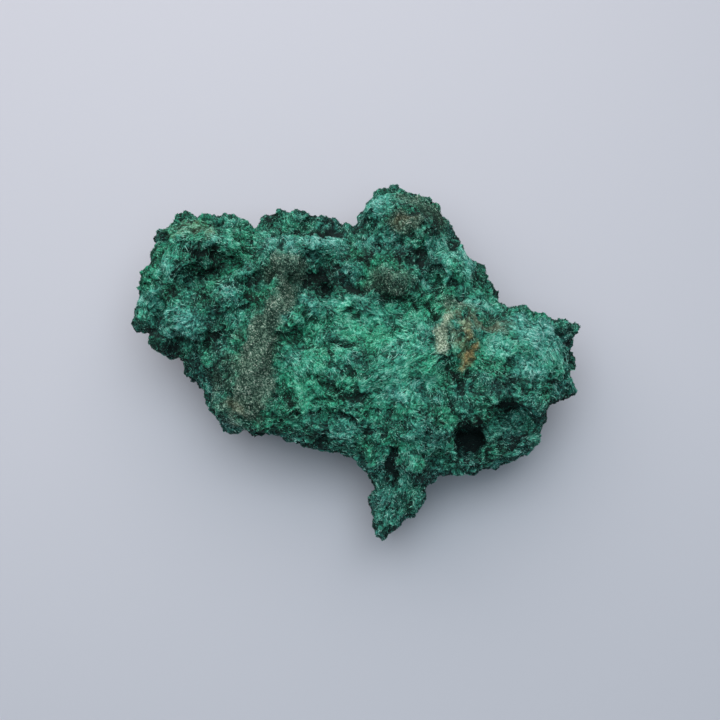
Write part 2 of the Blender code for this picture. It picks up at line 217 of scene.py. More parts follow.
# %% The ochre stains
OCHRE = (
    Stroke(0.62, ((21.4, 1.8, 0.8), (22.4, 0.8, 0.8))),
    Stroke(1.0, ((22.8, -0.4, 0.6), (21.4, -2.0, 0.8), (20.0, -3.8, 0.5))),
    Stroke(0.20, ((20.4, 0.4, 1.8), (21.0, 3.4, 2.0))),
    Stroke(0.13, ((18.6, 5.6, 2.0), (22.6, 5.6, 2.4), (26.0, 4.6, 2.0))),
    Stroke(0.08, ((28.0, 4.8, 1.4), (29.6, 4.4, 1.2))),
    Stroke(0.09, ((-34.6, 24.6, 3.4), (-30.6, 23.4, 3.0))),
    Stroke(0.15, ((8.6, 24.4, 1.6), (10.6, 24.0, 1.4))),
    Stroke(0.08, ((-24.0, -10.6, 1.6), (-22.8, -12.6, 1.2))),
)
print(len(OCHRE), "strokes of ochre stain")

# %% The pale crust beside the largest stain
PALE = (
    Stroke(1.0, ((18.4, 6.2, 0.35), (16.8, 4.2, 0.65), (15.8, 1.6, 0.85), (16.2, -1.4, 0.6))),
    Stroke(0.14, ((18.0, 4.6, 1.6), (21.0, 4.6, 2.4), (25.0, 4.6, 2.0))),
    Stroke(0.2, ((18.9, 2.0, 0.8), (18.9, -1.6, 0.7))),
    Stroke(0.25, ((-23.4, -12.6, 0.8), (-22.6, -13.0, 0.7))),
)
print(len(PALE), "strokes of pale crust")

# %% Tufts of a bluer, paler green
MINT = (
    Stroke(1.0, ((-8.6, 21.4, 2.4), (-5.8, 20.8, 2.4))),
    Stroke(0.8, ((-16.4, 20.4, 2.2), (-12.4, 19.8, 2.2))),
    Stroke(0.5, ((-11.0, 27.4, 1.8), (-6.0, 26.8, 2.0))),
    Stroke(0.6, ((3.6, 27.8, 3.0), (6.0, 29.6, 3.4))),
    Stroke(0.35, ((-33.0, 22.0, 2.6), (-28.0, 20.4, 2.6))),
    Stroke(0.7, ((-36.6, 5.4, 2.0), (-32.6, 4.6, 2.6), (-29.6, 5.4, 2.0))),
    Stroke(0.6, ((-16.0, 17.6, 2.4), (-10.0, 16.4, 2.4), (-5.0, 16.0, 2.0))),
    Stroke(0.6, ((-4.0, 22.4, 2.0), (-1.6, 14.6, 2.0))),
    Stroke(0.45, ((-26.0, 10.0, 2.4), (-22.0, 5.0, 2.4))),
    Stroke(0.5, ((2.0, 22.0, 2.6), (9.0, 20.8, 2.2), (12.0, 24.6, 2.2))),
    Stroke(0.5, ((24.0, -6.6, 2.2), (31.0, -7.6, 2.6))),
    Stroke(0.6, ((16.4, 18.6, 3.4), (20.2, 16.4, 3.4))),
    Stroke(0.4, ((22.6, 9.4, 1.8), (26.6, 8.8, 2.0))),
    Stroke(0.45, ((29.6, 3.4, 4.6), (35.6, 1.6, 5.4), (34.0, -3.4, 4.0))),
    Stroke(0.9, ((31.6, 5.0, 2.4), (35.8, 3.0, 3.6), (37.0, -1.0, 2.2))),
    Stroke(0.5, ((8.8, -16.4, 2.4), (10.8, -20.4, 3.0))),
    Stroke(0.4, ((8.0, -9.6, 2.0), (14.0, -9.0, 2.2), (20.0, -10.4, 2.0))),
    Stroke(0.4, ((13.4, -17.2, 1.6), (16.4, -18.2, 1.4))),
    Stroke(0.30, ((6.0, -27.0, 3.0), (6.4, -32.0, 2.4))),
    Stroke(0.3, ((-14.4, 5.0, 2.2), (-12.0, 4.6, 2.0))),
    Stroke(0.5, ((-9.4, 7.4, 2.0), (-8.4, 6.2, 1.6))),
    Stroke(0.4, ((11.2, 11.0, 1.6), (12.4, 12.6, 1.6))),
    Stroke(0.45, ((-36.8, 16.4, 1.6), (-40.4, 9.6, 1.6))),
    Stroke(0.5, ((31.4, -12.8, 1.4), (35.4, -12.6, 1.6))),
    Stroke(0.4, ((36.0, -4.8, 1.6), (37.6, -5.4, 1.4))),
)
print(len(MINT), "strokes of mint")

# %% Where the fibres are long and silky
# Besides longer, flatter fibres, silk makes the colour lighter, partly as a painted sheen.
SILK = (
    Stroke(0.7, ((-7.0, 6.0, 4.5), (0.0, 6.0, 5.0))),
    Stroke(0.85, ((1.0, 5.0, 4.0), (8.0, 3.0, 5.5), (11.0, -4.0, 6.0), (8.0, -9.0, 5.0))),
    Stroke(0.5, ((-1.0, -7.4, 1.4), (5.4, -7.6, 1.4))),
    Stroke(0.45, ((-9.0, -11.6, 1.4), (-6.0, -12.6, 1.4))),
    Stroke(0.6, ((0.6, -14.2, 1.6), (3.6, -15.4, 1.6))),
    Stroke(0.4, ((-26.4, -12.4, 1.4), (-24.4, -13.8, 1.4))),
    Stroke(0.45, ((6.6, 21.6, 1.1), (10.2, 21.2, 1.1))),
    Stroke(0.8, ((18.9, 2.2, 0.9), (18.9, -1.8, 0.9))),
    Stroke(0.5, ((36.0, -3.2, 1.4), (37.6, -4.8, 1.4))),
    Stroke(0.4, ((-36.6, 16.8, 1.3), (-33.6, 19.2, 1.3))),
    Stroke(0.6, ((-12.0, 0.0, 3.0), (-11.0, -6.0, 3.4), (-4.0, -4.0, 3.0))),
    Stroke(0.95, ((27.0, 0.0, 3.0), (31.4, 1.8, 4.8), (36.0, 0.0, 5.0), (34.0, -2.6, 3.2))),
    Stroke(0.7, ((22.6, 9.6, 1.8), (27.6, 9.2, 1.6))),
    Stroke(0.6, ((33.0, -11.6, 1.6), (35.6, -12.8, 1.6))),
    Stroke(0.85, ((-41.0, 9.0, 1.6), (-38.4, 13.6, 1.8), (-36.0, 17.6, 1.5))),
    Stroke(0.6, ((12.0, 10.8, 1.6), (15.0, 14.2, 1.7))),
    Stroke(0.52, ((-36.0, 5.6, 2.2), (-30.0, 5.0, 2.6))),
    Stroke(0.9, ((16.4, 19.6, 3.4), (20.4, 16.6, 3.2))),
    Stroke(0.7, ((2.8, 28.4, 2.4), (5.2, 30.0, 2.4))),
    Stroke(0.3, ((-35.0, 22.4, 2.6), (-31.0, 21.6, 3.0), (-25.6, 20.2, 2.4))),
    Stroke(0.45, ((-13.0, 4.8, 1.8), (-9.0, 7.0, 2.0))),
    Stroke(0.75, ((9.4, -18.4, 2.2), (10.8, -21.2, 2.0))),
    Stroke(0.8, ((-15.4, 20.4, 2.0), (-10.0, 20.8, 2.4), (-5.8, 20.6, 2.2))),
)
print(len(SILK), "strokes of silk")

# %% Painted shade in the hollows and on the rims
# Painted shade: these strokes darken the hollows and rims where shade falls.
PAINTED_SHADE_STROKES = (
    Stroke(1.0, ((-9.4, 13.4, 1.3), (-6.4, 13.0, 2.2), (-5.0, 15.0, 1.6))),
    Stroke(0.5, ((-19.8, 12.4, 1.0), (-15.4, 13.2, 1.0))),
    Stroke(0.55, ((-33.0, 18.4, 0.9), (-29.4, 17.6, 1.5), (-25.4, 17.2, 1.1))),
    Stroke(0.2, ((-31.6, 14.8, 1.4), (-27.6, 14.6, 1.8))),
    Stroke(0.3, ((-35.6, 1.0, 1.4), (-31.0, 0.2, 1.6))),
    Stroke(0.65, ((-29.0, 2.0, 1.6), (-28.0, -1.0, 2.0), (-27.0, -4.0, 1.6))),
    Stroke(0.9, ((9.6, 18.2, 1.9), (12.8, 17.2, 2.1), (15.6, 17.4, 1.4))),
    Stroke(0.6, ((-1.8, 19.2, 1.3), (1.4, 18.2, 1.4))),
    Stroke(0.5, ((-2.4, 11.0, 1.2), (4.4, 11.2, 1.0))),
    Stroke(0.3, ((4.8, 11.4, 2.6), (7.8, 10.8, 2.4))),
    Stroke(1.0, ((20.8, -16.4, 1.9), (23.8, -16.2, 1.9))),
    Stroke(0.9, ((28.0, -10.3, 0.7), (30.2, -10.2, 0.7))),
    Stroke(0.55, ((25.0, -7.6, 1.3), (28.4, -7.6, 1.3))),
    Stroke(0.4, ((25.6, -17.4, 1.8), (29.0, -17.4, 2.0), (34.6, -15.8, 1.8))),
    Stroke(0.3, ((17.0, -6.4, 1.6), (20.4, -6.4, 1.6))),
    Stroke(0.6, ((7.0, -21.8, 0.9), (7.6, -24.8, 1.0))),
    Stroke(0.55, ((-18.5, 25.0, 0.9), (-11.2, 24.4, 1.0), (-3.5, 24.4, 0.9))),
    Stroke(0.5, ((-18.0, 28.0, 1.8), (-15.6, 27.6, 1.6))),
    Stroke(0.55, ((9.6, 27.6, 1.6), (13.4, 27.8, 2.2), (16.8, 26.2, 2.0))),
    Stroke(0.5, ((7.4, 24.8, 2.2), (10.6, 24.4, 2.2))),
    Stroke(0.2, ((9.6, -27.4, 1.8), (10.4, -31.0, 1.6))),
    Stroke(0.4, ((-19.6, -13.4, 1.6), (-16.6, -13.8, 1.6))),
    Stroke(0.15, ((-12.0, -15.2, 1.6), (-6.0, -16.4, 1.6))),
    Stroke(0.7, ((12.4, -19.8, 1.0), (13.2, -22.0, 1.0))),
    Stroke(0.45, ((25.6, 5.4, 1.4), (28.2, 4.6, 1.4))),
    Stroke(0.45, ((15.8, 28.8, 1.2), (18.4, 23.6, 1.1))),
    Stroke(0.35, ((24.6, 17.4, 1.0), (27.6, 13.6, 1.0))),
    Stroke(0.6, ((42.6, 5.4, 1.0), (42.2, -1.0, 1.1))),
    Stroke(0.55, ((40.6, -7.6, 1.0), (37.4, -11.6, 1.2), (33.4, -17.6, 1.1))),
    Stroke(0.4, ((-40.2, 24.6, 1.0), (-40.6, 21.4, 1.0))),
    Stroke(0.15, ((-43.4, 6.6, 1.0), (-36.6, -0.8, 1.4), (-33.6, -3.6, 1.4))),
    Stroke(0.12, ((-5.4, 27.8, 1.2), (-2.6, 26.0, 1.2))),
    Stroke(0.4, ((3.2, -28.6, 1.0), (3.6, -33.0, 1.0))),
    Stroke(0.55, ((-29.2, 9.8, 1.6), (-28.8, 6.4, 1.8), (-27.6, 3.6, 1.8))),
    Stroke(0.4, ((-10.7, 9.6, 0.7), (-10.7, 6.0, 0.7))),
    Stroke(0.45, ((-16.6, 13.8, 1.6), (-12.2, 14.2, 1.6))),
    Stroke(0.55, ((28.6, -6.0, 1.5), (33.6, -6.6, 1.5))),
    Stroke(0.5, ((-13.6, -10.8, 0.9), (-13.2, -12.0, 0.8))),
    Stroke(0.3, ((-37.0, 11.6, 2.0), (-34.0, 11.0, 1.8))),
)
print(len(PAINTED_SHADE_STROKES), "strokes of soot")

# %% [markdown]
# ## Gashes, bosses and rims
# Some breaks in the skin are narrow cuts with sharp lips, and some tufts stand up as round knobs. The rim
# of the lump also bulges or has slipped a little here and there. These are strokes as well, but they push
# the skin in or out later, so the edges of the gashes and bosses are crisp.

# %% Gashes and bosses
GASHES = (
    Stroke(0.9, ((5.2, 5.6, 0.4), (6.8, 4.1, 0.9))),
    Stroke(0.8, ((13.9, 8.5, 0.6), (15.0, 6.5, 0.6))),
    Stroke(1.0, ((-3.6, 1.3, 0.6), (-1.9, 0.2, 0.9), (-0.4, -0.4, 0.5))),
    Stroke(0.6, ((-4.8, -3.4, 0.7), (-3.4, -5.2, 0.8))),
    Stroke(0.7, ((-6.4, -5.9, 1.0), (-4.6, -8.4, 1.2))),
    Stroke(0.7, ((-2.5, -9.8, 0.9), (1.0, -10.8, 0.8))),
    Stroke(0.7, ((-13.2, -9.6, 0.9), (-12.8, -11.0, 0.7))),
    Stroke(0.5, ((4.6, -14.6, 0.8), (8.4, -15.4, 0.9))),
    Stroke(0.6, ((18.8, -4.4, 0.8), (20.8, -8.8, 0.9))),
    Stroke(1.0, ((-15.8, 2.0, 0.6), (-13.2, 1.2, 0.9), (-10.8, 1.6, 0.6))),
    Stroke(0.8, ((-16.0, 5.0, 0.5), (-15.6, 3.0, 0.5))),
    Stroke(0.8, ((-10.6, 5.6, 0.5), (-8.8, 4.6, 0.6))),
    Stroke(0.8, ((-2.4, 13.0, 0.6), (1.0, 11.0, 0.7), (4.4, 10.2, 0.5))),
    Stroke(0.35, ((10.4, 16.8, 0.7), (13.2, 16.0, 0.9))),
    Stroke(0.6, ((-9.2, 14.0, 0.7), (-6.2, 14.6, 1.0))),
    Stroke(0.7, ((4.6, 9.2, 0.5), (9.6, 8.4, 0.5), (12.0, 11.0, 0.5))),
    Stroke(1.0, ((20.4, -16.2, 1.2), (21.8, -16.8, 1.4), (24.2, -16.0, 1.3))),
    Stroke(0.9, ((28.0, -10.3, 0.6), (30.4, -10.2, 0.6))),
    Stroke(1.0, ((6.4, -20.6, 0.5), (7.0, -22.6, 0.8), (7.8, -24.8, 0.7))),
    Stroke(0.7, ((-18.5, 25.0, 0.4), (-11.2, 24.4, 0.5), (-3.5, 24.4, 0.4))),
    Stroke(0.8, ((18.3, 3.0, 0.15), (17.8, -0.6, 0.15))),
    Stroke(1.0, ((21.6, -4.7, 0.6),)),
    Stroke(0.9, ((30.8, 1.9, 0.5),)),
    Stroke(0.9, ((-22.2, 11.0, 0.45),)),
    Stroke(0.7, ((-33.2, 18.8, 0.4), (-30.6, 18.2, 0.8), (-27.0, 17.8, 0.5))),
)
BOSSES = (
    Stroke(1.0, ((-9.6, 9.4, 1.3), (-8.6, 7.2, 1.6))),
    Stroke(0.9, ((-14.0, 6.0, 1.2), (-12.6, 3.8, 1.4), (-11.2, 3.8, 0.9))),
    Stroke(0.8, ((-15.2, 16.4, 1.6), (-12.6, 15.8, 1.4))),
    Stroke(0.6, ((9.8, -19.0, 1.8), (11.6, -22.0, 1.8))),
    Stroke(0.8, ((-13.6, 20.0, 1.6),)),
    Stroke(0.8, ((-7.6, 20.2, 1.8),)),
    Stroke(0.7, ((6.0, 13.6, 1.8), (9.4, 12.4, 1.6))),
    Stroke(0.7, ((16.2, 19.4, 1.6), (19.4, 16.6, 1.8))),
    Stroke(0.8, ((-36.4, 5.0, 1.6), (-30.8, 4.4, 1.8))),
)
print(len(GASHES), "gashes,", len(BOSSES), "bosses")

# %% Where the rim bulges or has slipped
SWELLS = (
    Stroke(1.0, ((15.2, 30.2, 1.2), (17.8, 25.4, 1.2))),
    Stroke(0.9, ((24.4, 18.4, 1.0), (27.2, 13.4, 1.0))),
    Stroke(0.9, ((39.8, -8.8, 1.2), (42.2, -9.2, 1.0))),
    Stroke(0.9, ((-39.6, 2.4, 1.2), (-34.2, -2.8, 1.2))),
    Stroke(0.6, ((-44.2, 7.4, 1.0), (-42.0, 5.4, 1.0))),
    Stroke(0.8, ((-5.4, 28.4, 1.0), (-1.4, 25.6, 1.0))),
    Stroke(0.7, ((-23.4, -16.4, 1.0), (-15.6, -17.8, 1.0))),
    Stroke(0.8, ((12.6, -28.0, 1.0), (7.8, -33.0, 1.0))),
    Stroke(0.5, ((-40.6, 24.4, 0.8), (-40.8, 20.6, 0.8))),
)
SLUMPS = (
    Stroke(1.0, ((-38.0, 26.6, 1.2), (-31.0, 28.8, 1.2))),
    Stroke(0.7, ((-28.0, 28.6, 1.0), (-20.6, 28.0, 1.0))),
    Stroke(0.8, ((30.4, 11.6, 1.0), (35.6, 9.0, 1.0))),
    Stroke(0.9, ((39.6, 9.4, 1.0), (44.0, 7.4, 1.0))),
    Stroke(0.8, ((42.4, -1.6, 0.8), (42.4, -5.0, 0.8))),
    Stroke(0.6, ((-43.4, 17.6, 0.8), (-44.4, 10.4, 0.8))),
    Stroke(0.7, ((26.0, -22.4, 1.0), (33.4, -20.4, 1.0))),
)
print(len(SWELLS), "swells,", len(SLUMPS), "slumps")

# %% [markdown]
# ## Which way the fibres lie
# On most of the lump the fibres lean out from the middle of their tuft. On the shell, along the near edge
# and round the knob and the prong they are combed into long bundles. A last set of strokes gives their
# direction: the fibres run the way that the stroke was drawn.

# %% Combing
COMBING = (
    Stroke(1.0, ((-23.0, -14.4, 2.4), (-13.5, -16.3, 2.8), (-1.6, -17.7, 2.6))),
    Stroke(1.0, ((24.6, -14.0, 2.6), (29.0, -14.4, 3.4), (33.6, -12.6, 3.0), (36.8, -10.1, 2.2))),
    Stroke(1.0, ((25.2, -18.2, 1.8), (30.4, -17.4, 2.0), (34.4, -15.2, 2.0), (37.4, -12.1, 1.8))),
    Stroke(1.0, ((18.1, -21.2, 1.4), (24.0, -20.8, 1.6), (29.9, -19.8, 1.6), (34.9, -17.7, 1.4))),
    Stroke(0.6, ((8.0, -17.6, 1.8), (9.8, -20.0, 2.0), (9.8, -24.5, 1.6))),
    Stroke(0.6, ((11.4, -17.6, 1.6), (13.2, -20.0, 1.8), (12.6, -23.6, 1.4))),
    Stroke(0.8, ((2.0, -9.2, 3.4), (12.9, -3.3, 4.0))),
    Stroke(0.8, ((-15.0, 0.6, 2.6), (-11.1, -4.7, 2.6))),
    Stroke(0.8, ((-5.4, 9.5, 3.0), (8.1, 3.6, 3.4))),
    Stroke(0.9, ((-38.0, 23.1, 2.8), (-30.0, 23.0, 3.0), (-22.8, 20.5, 2.6))),
    Stroke(0.9, ((-42.5, 5.0, 1.6), (-41.0, 10.0, 1.6), (-39.0, 13.0, 1.6))),
    Stroke(0.9, ((30.0, 4.4, 3.0), (38.6, 1.4, 3.4), (41.6, -5.1, 2.6))),
    Stroke(0.8, ((24.0, -3.0, 2.6), (32.0, -7.2, 3.0))),
    Stroke(0.9, ((2.4, 31.4, 2.2), (-0.6, 26.5, 2.4), (0.0, 21.5, 2.4))),
    Stroke(0.9, ((13.2, 28.6, 2.4), (19.0, 20.8, 2.6), (24.8, 13.0, 2.6))),
    Stroke(0.9, ((8.0, -25.6, 3.0), (5.6, -35.5, 2.4))),
)
print(len(COMBING), "combed bundles")

# %% [markdown]
# ## Laying the strokes on the skin
# Each point of the skin is looked up in plan: how far is it from the nearest stretch of a stroke, and how
# wide is the stroke there? Before that its place is nudged by a noise, so that the edges wander like a real
# crust's. A second noise makes the half-covered edge patchy. The strokes fade out low on the walls, where
# the lump is plain green.

# %% How strongly a stroke covers a place
RAGGED = 1.1          # how far a stroke's edge wanders, in millimetres
EDGE = 1.3            # how soft a painted edge is, in millimetres
CRISP_EDGES = {"crust": 1.1, "ochre": 0.7, "pale": 0.5, "gash": 0.35, "boss": 0.5}
MOTTLE = 3.0          # how patchy a soft edge is
WANDER_SIZE = 2.6     # of the noise that bends the edges, in millimetres
FINE_WANDER_SIZE = 0.9
FINE_WANDER_SHARE = 0.5
WANDER_SEED = 2       # any number but 0, which stands for the clock
PAINTED_ABOVE = 7.0   # the strokes start to show at this height, in millimetres
PAINT_FADE = 6.0      # and show fully this much higher


def stroke_mask(places, stroke, edge):
    """How strongly a stroke covers each (x, y), from 0 to its strength."""
    reach = np.full(len(places), np.inf)
    points = np.array(stroke.points)
    if len(points) == 1:
        reach = np.hypot(*(places - points[0, :2]).T) - points[0, 2]
    for start, end in zip(points, points[1:]):
        run = end[:2] - start[:2]
        share = np.clip((places - start[:2]) @ run / (run @ run), 0.0, 1.0)
        gap = np.hypot(*(places - start[:2] - share[:, None] * run).T)
        reach = np.minimum(reach, gap - start[2] - share * (end[2] - start[2]))
    cover = np.clip(0.5 - reach / (2 * edge), 0.0, 1.0)
    return stroke.strength * cover * cover * (3 - 2 * cover)


# %% Which way a stroke runs
def stroke_way(places, stroke):
    """The direction of a stroke's nearest stretch, for each (x, y)."""
    points = np.array(stroke.points)[:, :2]
    nearest = np.full(len(places), np.inf)
    way = np.zeros((len(places), 2))
    for start, end in zip(points, points[1:]):
        run = end - start
        share = np.clip((places - start) @ run / (run @ run), 0.0, 1.0)
        gap = np.hypot(*(places - start - share[:, None] * run).T)
        closer = gap < nearest
        way[closer] = run / np.hypot(*run)
        nearest = np.minimum(nearest, gap)
    return way


# %% Reading and storing numbers on a mesh
def vertex_places(mesh):
    """A mesh's vertices as an array, in millimetres."""
    places = np.empty(3 * len(mesh.vertices), np.float32)
    mesh.vertices.foreach_get("co", places)
    return places.reshape(-1, 3).astype(float) / MM


def store(mesh, name, values):
    """Stores one number for each vertex."""
    layer = mesh.attributes.new(name, "FLOAT", "POINT")
    layer.data.foreach_set("value", values.astype(np.float32))


# %% Paint and carve
LAYERS = {"crust": CRUST, "ochre": OCHRE, "pale": PALE, "mint": MINT, "silk": SILK, "painted_shade": PAINTED_SHADE_STROKES,
          "gash": GASHES, "boss": BOSSES, "swell": SWELLS, "slump": SLUMPS}
COVERED = 0.3         # a spot counts as covered above this

spots = vertex_places(stone.data)
noise.seed_set(WANDER_SEED)
wander = np.array([noise.noise_vector(Vector(spot) / WANDER_SIZE) for spot in spots])
fine_wander = np.array([noise.noise_vector(Vector(spot) / FINE_WANDER_SIZE) for spot in spots])
wander += FINE_WANDER_SHARE * fine_wander
brushed = spots[:, :2] + RAGGED * wander[:, :2]
upper = np.clip((spots[:, 2] - PAINTED_ABOVE) / PAINT_FADE, 0.0, 1.0)
for name, strokes in LAYERS.items():
    edge = CRISP_EDGES.get(name, EDGE)
    cover = upper * np.max([stroke_mask(brushed, stroke, edge) for stroke in strokes], axis=0)
    cover = np.clip(cover + MOTTLE * wander[:, 2] * cover * (1.0 - cover), 0.0, 1.0)
    store(stone.data, name, cover)
    print(name, "covers", round(100 * float(np.mean(cover > COVERED)), 1), "% of the skin")

# %% Comb
combing = np.zeros((len(spots), 3))
for stroke in COMBING:
    combing[:, :2] += (upper * stroke_mask(brushed, stroke, EDGE))[:, None] * stroke_way(brushed, stroke)
layer = stone.data.attributes.new("combing", "FLOAT_VECTOR", "POINT")
layer.data.foreach_set("vector", combing.astype(np.float32).ravel())
is_combed = np.hypot(combing[:, 0], combing[:, 1]) > COVERED
print("combed:", round(100 * float(np.mean(is_combed)), 1), "% of the skin")

# %% How much of the sky each spot faces
facing = np.empty(3 * len(spots), np.float32)
stone.data.vertex_normals.foreach_get("vector", facing)
store(stone.data, "facing", facing[2::3])
print("spots that face down:", round(100 * float(np.mean(facing[2::3] < 0.0)), 1), "%")

# %% [markdown]
# ## The relief of tufts
# Under the silk each tuft is a small dome, with a crease where it meets its neighbours. A Voronoi pattern
# is just that: cells, and the distance from each cell's middle. Its space is bent by a noise first, so that
# no two tufts are alike. Geometry Nodes move the skin by it, and the same bent cells will later comb the
# fibres, so every fibre leans away from the middle of the dome that it grows on. The crust has no tufts,
# only grit.

# %% Helpers for node trees
def node(tree, kind, values=None, **settings):
    """Adds a node. values maps each input, by name or place, to a number or to the output that feeds it."""
    made = tree.nodes.new(kind)
    for key, value in settings.items():
        setattr(made, key, value)
    for key, value in (values or {}).items():
        if isinstance(value, bpy.types.NodeSocket):
            tree.links.new(value, made.inputs[key])
        else:
            made.inputs[key].default_value = value
    return made


def calc(tree, operation, *values):
    """The result of a Math node."""
    return node(tree, "ShaderNodeMath", dict(enumerate(values)), operation=operation).outputs[0]


def vector_calc(tree, operation, *values):
    """The vector result of a Vector Math node."""
    made = node(tree, "ShaderNodeVectorMath", dict(enumerate(values)), operation=operation)
    return made.outputs["Vector"]


def scaled(tree, vector, factor):
    """A vector times a number."""
    made = node(tree, "ShaderNodeVectorMath", {"Vector": vector, "Scale": factor}, operation="SCALE")
    return made.outputs["Vector"]


def length_of(tree, vector):
    """The length of a vector."""
    return node(tree, "ShaderNodeVectorMath", {0: vector}, operation="LENGTH").outputs["Value"]


def remap(tree, value, low, high, to_low, to_high):
    """A value carried from one range to another, and held inside it."""
    keys = {"Value": value, "From Min": low, "From Max": high, "To Min": to_low, "To Max": to_high}
    return node(tree, "ShaderNodeMapRange", keys).outputs["Result"]


def noise_at(tree, vector, size, detail, output="Fac"):
    """A noise whose lumps are about size metres across."""
    keys = {"Vector": vector, "Scale": 1.0 / size, "Detail": detail}
    return node(tree, "ShaderNodeTexNoise", keys, noise_dimensions="3D").outputs[output]


# %% Helpers for numbers stored on a surface
def named(tree, name):
    """An attribute of the surface, in a geometry tree."""
    made = node(tree, "GeometryNodeInputNamedAttribute", {"Name": name}, data_type="FLOAT")
    return made.outputs["Attribute"]


def mark(tree, geometry, name, value, kind="FLOAT"):
    """Stores a value at every point under a name."""
    keys = {"Geometry": geometry, "Name": name, "Value": value}
    made = node(tree, "GeometryNodeStoreNamedAttribute", keys, data_type=kind, domain="POINT")
    return made.outputs["Geometry"]


def marked(tree, name):
    """A vector stored under a name."""
    made = node(tree, "GeometryNodeInputNamedAttribute", {"Name": name}, data_type="FLOAT_VECTOR")
    return made.outputs["Attribute"]


# %% Helpers for whole trees
def new_tree(name, inputs, kind="GeometryNodeTree"):
    """A node tree with named inputs, each a name, a kind and a starting value. Gives tree and inputs."""
    tree = bpy.data.node_groups.new(name, kind)
    for label, socket, value in inputs:
        made = tree.interface.new_socket(name=label, in_out="INPUT", socket_type=socket)
        if value is not None:
            made.default_value = value
    return tree, tree.nodes.new("NodeGroupInput").outputs


def run_tree(obj, tree, **values):
    """Puts a geometry tree on an object, sets its inputs, and turns the result into plain mesh."""
    modifier = obj.modifiers.new(tree.name, "NODES")
    modifier.node_group = tree
    sockets = {item.name.replace(" ", "_"): item.identifier for item in tree.interface.items_tree}
    for label, value in values.items():
        modifier[sockets[label]] = value
    apply_modifiers(obj)


# %% The bent cells that are the tufts
COARSE_BEND = 7.0 * MM        # how far a noise with 6 mm lumps moves a place before its cell is looked up
FINE_BEND = 1.5 * MM          # the same, for lumps of 1.6 mm
LEAN_BY_TUFT = 0.6 / MM       # how much a fibre's lean owes to its place in the tuft
LEAN_BY_FLOW = 7.0            # and to a slow noise that combs whole neighbourhoods


def wavy(tree, place, size, detail):
    """A vector noise that is 0 on average."""
    return vector_calc(tree, "SUBTRACT", noise_at(tree, place, size, detail, "Color"), (0.5, 0.5, 0.5))


def height_of(tree, vector):
    """The Z of a vector."""
    return node(tree, "ShaderNodeSeparateXYZ", {"Vector": vector}).outputs["Z"]


def tuft_cells():
    """A tree that gives how far out of its tuft a place is, the tuft's tone, and how a fibre leans."""
    inputs = (("Position", "NodeSocketVector", None), ("Tuft Size", "NodeSocketFloat", 3.4 * MM))
    tree, given = new_tree("tuft_cells", inputs)
    for label, socket in (("Reach", "NodeSocketFloat"), ("Tone", "NodeSocketFloat"),
                          ("Lean", "NodeSocketVector")):
        tree.interface.new_socket(name=label, in_out="OUTPUT", socket_type=socket)
    place = given["Position"]
    coarse = wavy(tree, place, 6 * MM, 1)
    fine = wavy(tree, place, 1.6 * MM, 1)
    bend = vector_calc(tree, "ADD", scaled(tree, coarse, COARSE_BEND), scaled(tree, fine, FINE_BEND))
    bent = vector_calc(tree, "ADD", place, bend)
    per_metre = calc(tree, "DIVIDE", 1.0, given["Tuft Size"])
    cells = node(tree, "ShaderNodeTexVoronoi", {"Vector": bent, "Scale": per_metre})
    outward = vector_calc(tree, "SUBTRACT", bent, cells.outputs["Position"])
    tone = node(tree, "ShaderNodeSeparateXYZ", {"Vector": cells.outputs["Color"]}).outputs["X"]
    flow = wavy(tree, place, 7 * MM, 1.5)
    lean = vector_calc(tree, "ADD", scaled(tree, outward, LEAN_BY_TUFT), scaled(tree, flow, LEAN_BY_FLOW))
    lean = vector_calc(tree, "NORMALIZE", lean)
    node(tree, "NodeGroupOutput", {"Reach": cells.outputs["Distance"], "Tone": tone, "Lean": lean})
    return tree


cells_tree = tuft_cells()
print("the tuft tree has", len(cells_tree.nodes), "nodes")

# %% The relief's inputs
skin_inputs = (
    ("Geometry", "NodeSocketGeometry", None),
    ("Dome Height", "NodeSocketFloat", 1.15 * MM),
    ("Knob Height", "NodeSocketFloat", 0.35 * MM),
    ("Comb Height", "NodeSocketFloat", 1.9 * MM),
    ("Crack Depth", "NodeSocketFloat", 1.0 * MM),
    ("Pit Depth", "NodeSocketFloat", 1.6 * MM),
    ("Boss Height", "NodeSocketFloat", 1.5 * MM),
    ("Grain Height", "NodeSocketFloat", 0.9 * MM),
    ("Plate Height", "NodeSocketFloat", 0.45 * MM),
    ("Swell Height", "NodeSocketFloat", 1.0 * MM),
    ("Sideways", "NodeSocketFloat", 1.1 * MM),
)
skin_tree, given = new_tree("skin_relief", skin_inputs)
skin_tree.interface.new_socket(name="Geometry", in_out="OUTPUT", socket_type="NodeSocketGeometry")
print("the relief has", len(skin_inputs) - 1, "sizes")

# %% Helpers for relief
DOME_REACH = 0.85             # in tuft sizes, where a dome is down to nothing


def creases(tree, place, size, detail, width):
    """1 along winding lines where a noise crosses its middle value, 0 away from them."""
    off_middle = calc(tree, "ABSOLUTE", calc(tree, "SUBTRACT", noise_at(tree, place, size, detail), 0.5))
    return remap(tree, off_middle, 0.0, width, 1.0, 0.0)


def dome_over(tree, reach):
    """A round dome over a cell: 1 at its middle and 0 at its rim."""
    share = calc(tree, "DIVIDE", reach, DOME_REACH)
    return calc(tree, "SUBTRACT", 1.0, calc(tree, "MULTIPLY", share, share))


def combed(tree, place, along, size=0.65 * MM, step=0.45 * MM, reach=3):
    """A noise smeared along a direction, so that its lumps become strands. It is 0 on average."""
    total = 0.0
    for k in range(-reach, reach + 1):
        sample = vector_calc(tree, "ADD", place, scaled(tree, along, k * step))
        total = calc(tree, "ADD", noise_at(tree, sample, size, 1), total)
    return calc(tree, "SUBTRACT", calc(tree, "DIVIDE", total, 2 * reach + 1), 0.5)


def above_table(tree, geometry):
    """Nothing sinks into the table."""
    place = node(tree, "GeometryNodeInputPosition").outputs["Position"]
    place = vector_calc(tree, "MAXIMUM", place, (-1.0, -1.0, 0.0))
    kept = node(tree, "GeometryNodeSetPosition", {"Geometry": geometry, "Position": place})
    return kept.outputs["Geometry"]


